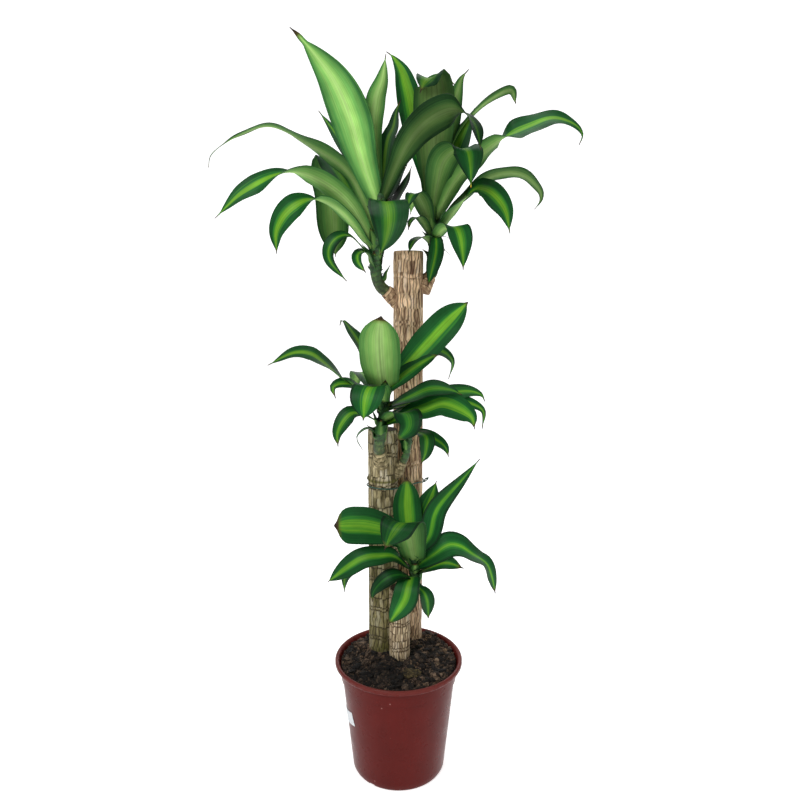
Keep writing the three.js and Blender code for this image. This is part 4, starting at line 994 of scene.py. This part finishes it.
def build_filling(material):
    """The soil: one mounded filling with a crumbly top."""
    bm = bmesh.new()
    tone = bm.verts.layers.float.new("tone")
    inside = POT["floor"] + GAP
    slack = POT["wall"] + 2 * GAP
    edge = POT["neck_radius"] - slack - 0.6
    profile = [
        (0.0, inside), (wall_radius(inside) - slack, inside),
        (POT["wall_top_radius"] - slack, POT["ledge_z"] + 1),
        (POT["ledge_radius"] - slack, POT["ledge_z"] + 3), (edge, SOIL_WALL_Z - 3.5),
    ]
    rows = len(profile) - 1 + SOIL_ROWS

    def place(corner, turn, v):
        row = round(v * rows)
        ahead = Vector((math.cos(turn), math.sin(turn), 0))
        if row < len(profile):
            radius, z = profile[row]
            return ahead * radius + Vector((0, 0, z))
        radius = (edge - 1.2) * (1 - (row - len(profile) + 1) / SOIL_ROWS)
        spot = ahead * radius
        grit = noise.fractal(spot * 0.16, 0.8, 2.1, 5)
        clod = clods(spot)
        corner[tone] = 0.2 * grit + 0.12 * clod
        rough = smoothstep(edge - 1.2 - radius, 0, 6)
        return spot + Vector((0, 0, soil_height(spot.x, spot.y) + rough * (3.4 * grit + 4.4 * clod)))

    add_tube(bm, SOIL_COLUMNS, rows, place)
    finish_piece(bm, "soil_filling", [material], "soil", "soil", sharp=1.2)


def build_chips(sizes, material):
    """Chips of bark lying on the soil, clear of the canes, some larger and a few pale."""
    bm = bmesh.new()
    tone = bm.verts.layers.float.new("tone")
    chance = random.Random(sizes.seed + 5)
    laid = 0
    while laid < sizes.soil_chips:
        radius, turn = CHIP_REACH * math.sqrt(chance.random()), chance.uniform(0, 2 * math.pi)
        x, y = radius * math.cos(turn), radius * math.sin(turn)
        middles = [(cane_middle(cane, CHIP_Z).to_2d(), cane["radius"]) for cane in CANES.values()]
        if any((Vector((x, y)) - middle).length < wide + 2 for middle, wide in middles):
            continue
        laid += 1
        size = chance.choice(CHIP_SIZES) * chance.uniform(0.7, 1.2)
        if laid % 40 == 0:
            size *= 1.5
        size = min(size, CHIP_LIMIT - radius)
        stretch = Vector((1.0, chance.uniform(0.5, 0.9), chance.uniform(0.3, 0.65)))
        spin = Matrix.Rotation(chance.uniform(0, FULL_TURN), 3, "Z")
        spin @= Matrix.Rotation(chance.uniform(-0.7, 0.7), 3, "X")
        shade = chance.choice(CHIP_SHADES) + chance.uniform(-0.03, 0.03)
        if laid % 70 == 0:
            shade = 0.3
        middle = Vector((x, y, soil_height(x, y) + 0.15 * size + 4.0 * clods(Vector((x, y, 0)))))
        for corner in bmesh.ops.create_icosphere(bm, subdivisions=1, radius=1.0)["verts"]:
            bulge = 1 + 0.28 * chance.uniform(-1, 1)
            corner.co = (spin @ (corner.co * bulge * size * stretch) + middle) * MM
            corner[tone] = shade
    finish_piece(bm, "soil_chips", [material], "soil", "soil", sharp=0.5)


def build_moss(material):
    """A low tufted clump of moss on the soil."""
    bm = bmesh.new()
    tone = bm.verts.layers.float.new("tone")
    x, y = MOSS["place"]
    middle = Vector((x, y, soil_height(x, y)))
    stretch = Vector((MOSS["radius"], 0.75 * MOSS["radius"], MOSS["height"]))
    for corner in bmesh.ops.create_icosphere(bm, subdivisions=4, radius=1.0)["verts"]:
        tufts = noise.fractal(corner.co * 2.4, 0.7, 2.1, 4)
        corner[tone] = 0.12 * tufts
        corner.co = (middle + corner.co * (1 + 0.3 * tufts) * stretch) * MM
    finish_piece(bm, "moss_clump", [material], "soil", "soil", sharp=1.2)


# ---- pot

def build_pot(material):
    """The pot: the frame's own moulding, merged, cut finer round and up its wall, and brought out to
    true circles."""
    bm = bmesh.new()
    bm.from_mesh(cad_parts["pot"].data)
    bmesh.ops.remove_doubles(bm, verts=bm.verts, dist=1e-6)
    facet = 2 * math.pi / POT["sides"]
    parts, levels = 4, 12
    turns = [cut * facet / parts for cut in range(POT["sides"] // 2 * parts) if cut % parts]
    cuts = [((0, 0, 0), (-math.sin(turn), math.cos(turn), 0)) for turn in turns]
    cuts += [((0, 0, POT["ledge_z"] * level / levels * MM), (0, 0, 1)) for level in range(1, levels)]
    for middle, facing in cuts:
        bmesh.ops.bisect_plane(
            bm, geom=[*bm.verts, *bm.edges, *bm.faces], plane_co=middle, plane_no=facing, dist=1e-7)
    for corner in bm.verts:
        turn = math.atan2(corner.co.y, corner.co.x)
        grow = math.cos(turn % facet - facet / 2) / math.cos(facet / 2)
        corner.co.xy *= grow
    bmesh.ops.dissolve_degenerate(bm, edges=bm.edges, dist=1e-7)
    finish_piece(bm, "nursery_pot", [material], "pot", "pot", sharp=0.75)


# ---- stage

def build_sweep():
    """A pale paper floor that bends up into a backdrop."""
    bend, rise = SWEEP["bend"], SWEEP["bend"] * math.pi / 2
    flat = SWEEP["near"] + SWEEP["far"]

    def place(corner, u, v):
        run = v * (flat + rise + SWEEP["high"])
        x = (u - 0.5) * SWEEP["wide"]
        if run < flat:
            return Vector((x, run - SWEEP["near"], 0)) / MM
        turn = min(run - flat, rise) / bend
        up = max(run - flat - rise, 0.0)
        return Vector((x, SWEEP["far"] + bend * math.sin(turn), bend * (1 - math.cos(turn)) + up)) / MM

    bm = bmesh.new()
    add_sheet(bm, 2, 90, place)
    paper = plain_material("pale studio paper", "#F9F9F9", 0.9, 25, 0.0, vary=0.005, glow=0.68)
    sweep = make_object(bm, "studio_sweep", [paper], math.pi)


def add_light(name, energy, size, place, aim):
    """A soft square light that looks at a point."""
    light = bpy.data.lights.new(f"{name}_light", "AREA")
    light.energy = energy
    light.size = size
    lamp = bpy.data.objects.new(f"{name}_light", light)
    lamp.location = place
    lamp.rotation_euler = (Vector(aim) - Vector(place)).to_track_quat("-Z", "Y").to_euler()
    bpy.context.scene.collection.objects.link(lamp)


def add_camera(scene):
    """The camera, in front of the plant and a little above its middle."""
    lens = bpy.data.cameras.new("camera")
    lens.sensor_width = CAMERA["sensor"]
    lens.lens = CAMERA["focal"] / CAMERA["picture"] * CAMERA["sensor"]
    lens.shift_x = CAMERA["shift"] / CAMERA["picture"]
    lens.clip_start = 0.05
    lens.clip_end = 50
    camera = bpy.data.objects.new("camera", lens)
    camera.location = CAMERA["place"]
    camera.rotation_euler = (math.radians(90 - CAMERA["pitch"]), 0.0, 0.0)
    scene.collection.objects.link(camera)
    bpy.context.scene.camera = camera


# ---- operators

class CORNPLANT_OT_stage(bpy.types.Operator):
    """Adds the pale floor and backdrop, the soft studio lights and the camera"""

    bl_idname = "cornplant.stage"
    bl_label = "Stage, lights and camera"

    def execute(self, context):
        scene = context.scene
        scene.view_settings.view_transform = "Standard"
        build_sweep()
        for light in LIGHTS:
            add_light(**light)
        scene.world = bpy.data.worlds.new("studio white")
        scene.world.use_nodes = True
        tree = scene.world.node_tree
        join(tree, tree.nodes["Background"], Color=WHITE, Strength=0.22)
        add_camera(scene)
        return {"FINISHED"}


class CORNPLANT_OT_pot(bpy.types.Operator):
    """Adds the nursery pot and finishes the blank label on it"""

    bl_idname = "cornplant.pot"
    bl_label = "Nursery pot and label"

    def execute(self, context):
        build_pot(pot_material(tuple(context.scene.corn_plant_colours.pot)))
        finish_node("pot_label", plain_material("coated label paper", "#D5DADD", 0.5, 2, 0.05))
        return {"FINISHED"}


class CORNPLANT_OT_soil(bpy.types.Operator):
    """Adds the soil filling, the bark chips on it and a clump of moss"""

    bl_idname = "cornplant.soil"
    bl_label = "Potting soil"

    def execute(self, context):
        build_filling(soil_material("damp peat", "#0E0A07", "#33261C", "#7A624B"))
        chips = soil_material("composted bark", "#120C08", "#3A2A1E", "#766250")
        build_chips(context.scene.corn_plant_sizes, chips)
        build_moss(soil_material("dry moss", "#2A2411", "#5A4C2C", "#8E7A4C"))
        return {"FINISHED"}


class CORNPLANT_OT_canes(bpy.types.Operator):
    """Adds the three canes with their bark, cut tops and collars"""

    bl_idname = "cornplant.canes"
    bl_label = "Canes"

    def execute(self, context):
        light = tuple(context.scene.corn_plant_colours.bark)
        cut = cut_wood_material()
        barks = {
            "tall": bark_material("brown cane bark", light, linear("#6C4A36"), 0.12, 0.3),
            "mid": bark_material("grey cane bark", linear("#CCBB90"), linear("#453A24"), 0.55, 1.3),
            "short": bark_material("pale cane bark", linear("#E4CDA4"), linear("#634A34"), 0.1, 0.2),
        }
        for name in CANES:
            build_cane(name, context.scene.corn_plant_sizes, barks[name], cut)
        return {"FINISHED"}


class CORNPLANT_OT_shoots(bpy.types.Operator):
    """Adds the five leafy shoots with their stems"""

    bl_idname = "cornplant.shoots"
    bl_label = "Leafy shoots"

    def execute(self, context):
        colours = context.scene.corn_plant_colours
        stripe, margin = tuple(colours.leaf_stripe), tuple(colours.leaf_margin)
        pale, under = tuple(colours.under_stripe), tuple(colours.under_margin)
        upper = [
            (0.04, stripe), (0.2, "#549628"), (0.34, "#2F782A"),
            (0.52, margin), (0.93, margin), (1.0, "#12341A"),
        ]
        lower = [
            (0.05, pale), (0.32, "#82AE5A"), (0.58, "#629349"),
            (0.85, under), (0.95, under), (1.0, "#2C582B"),
        ]
        upper_face = leaf_material("waxy striped leaf", stops_of(upper), rough=0.4, gloss=0.14, relief=0.35)
        under_face = leaf_material("matte leaf underside", stops_of(lower), rough=0.6, gloss=0.08,
                                   relief=0.45)
        stem_skin = stem_material()
        for name in SHOOTS:
            build_shoot(name, context.scene.corn_plant_sizes, [upper_face, under_face], stem_skin)
        return {"FINISHED"}


class CORNPLANT_OT_tie(bpy.types.Operator):
    """Finishes the coated wire that ties the canes"""

    bl_idname = "cornplant.tie"
    bl_label = "Tie wire"

    def execute(self, context):
        finish_node("tie_wire", plain_material("vinyl coated wire", "#1F4A3A", 0.45, 3.333, 0.1))
        return {"FINISHED"}


class CORNPLANT_PT_panel(bpy.types.Panel):
    bl_idname = "CORNPLANT_PT_panel"
    bl_label = "Potted corn plant"
    bl_space_type = "VIEW_3D"
    bl_region_type = "UI"
    bl_category = "Corn plant"

    def draw(self, context):
        layout = self.layout
        for group in (context.scene.corn_plant_sizes, context.scene.corn_plant_colours):
            box = layout.box()
            for name in group.__annotations__:
                box.prop(group, name)
        for operator in OPERATORS:
            layout.operator(operator.bl_idname)


OPERATORS = (
    CORNPLANT_OT_stage, CORNPLANT_OT_pot, CORNPLANT_OT_soil, CORNPLANT_OT_canes, CORNPLANT_OT_shoots,
    CORNPLANT_OT_tie,
)
CLASSES = (CornPlantSizes, CornPlantColours, *OPERATORS, CORNPLANT_PT_panel)


def register():
    for item in CLASSES:
        bpy.utils.register_class(item)
    bpy.types.Scene.corn_plant_sizes = bpy.props.PointerProperty(type=CornPlantSizes)
    bpy.types.Scene.corn_plant_colours = bpy.props.PointerProperty(type=CornPlantColours)


def unregister():
    del bpy.types.Scene.corn_plant_colours
    del bpy.types.Scene.corn_plant_sizes
    for item in reversed(CLASSES):
        bpy.utils.unregister_class(item)


def main():
    register()
    for operator in OPERATORS:
        group, name = operator.bl_idname.split(".")
        result = getattr(getattr(bpy.ops, group), name)()
        if result != {"FINISHED"}:
            raise RuntimeError(f"{operator.bl_label} did not finish")


if __name__ == "__main__":
    main()
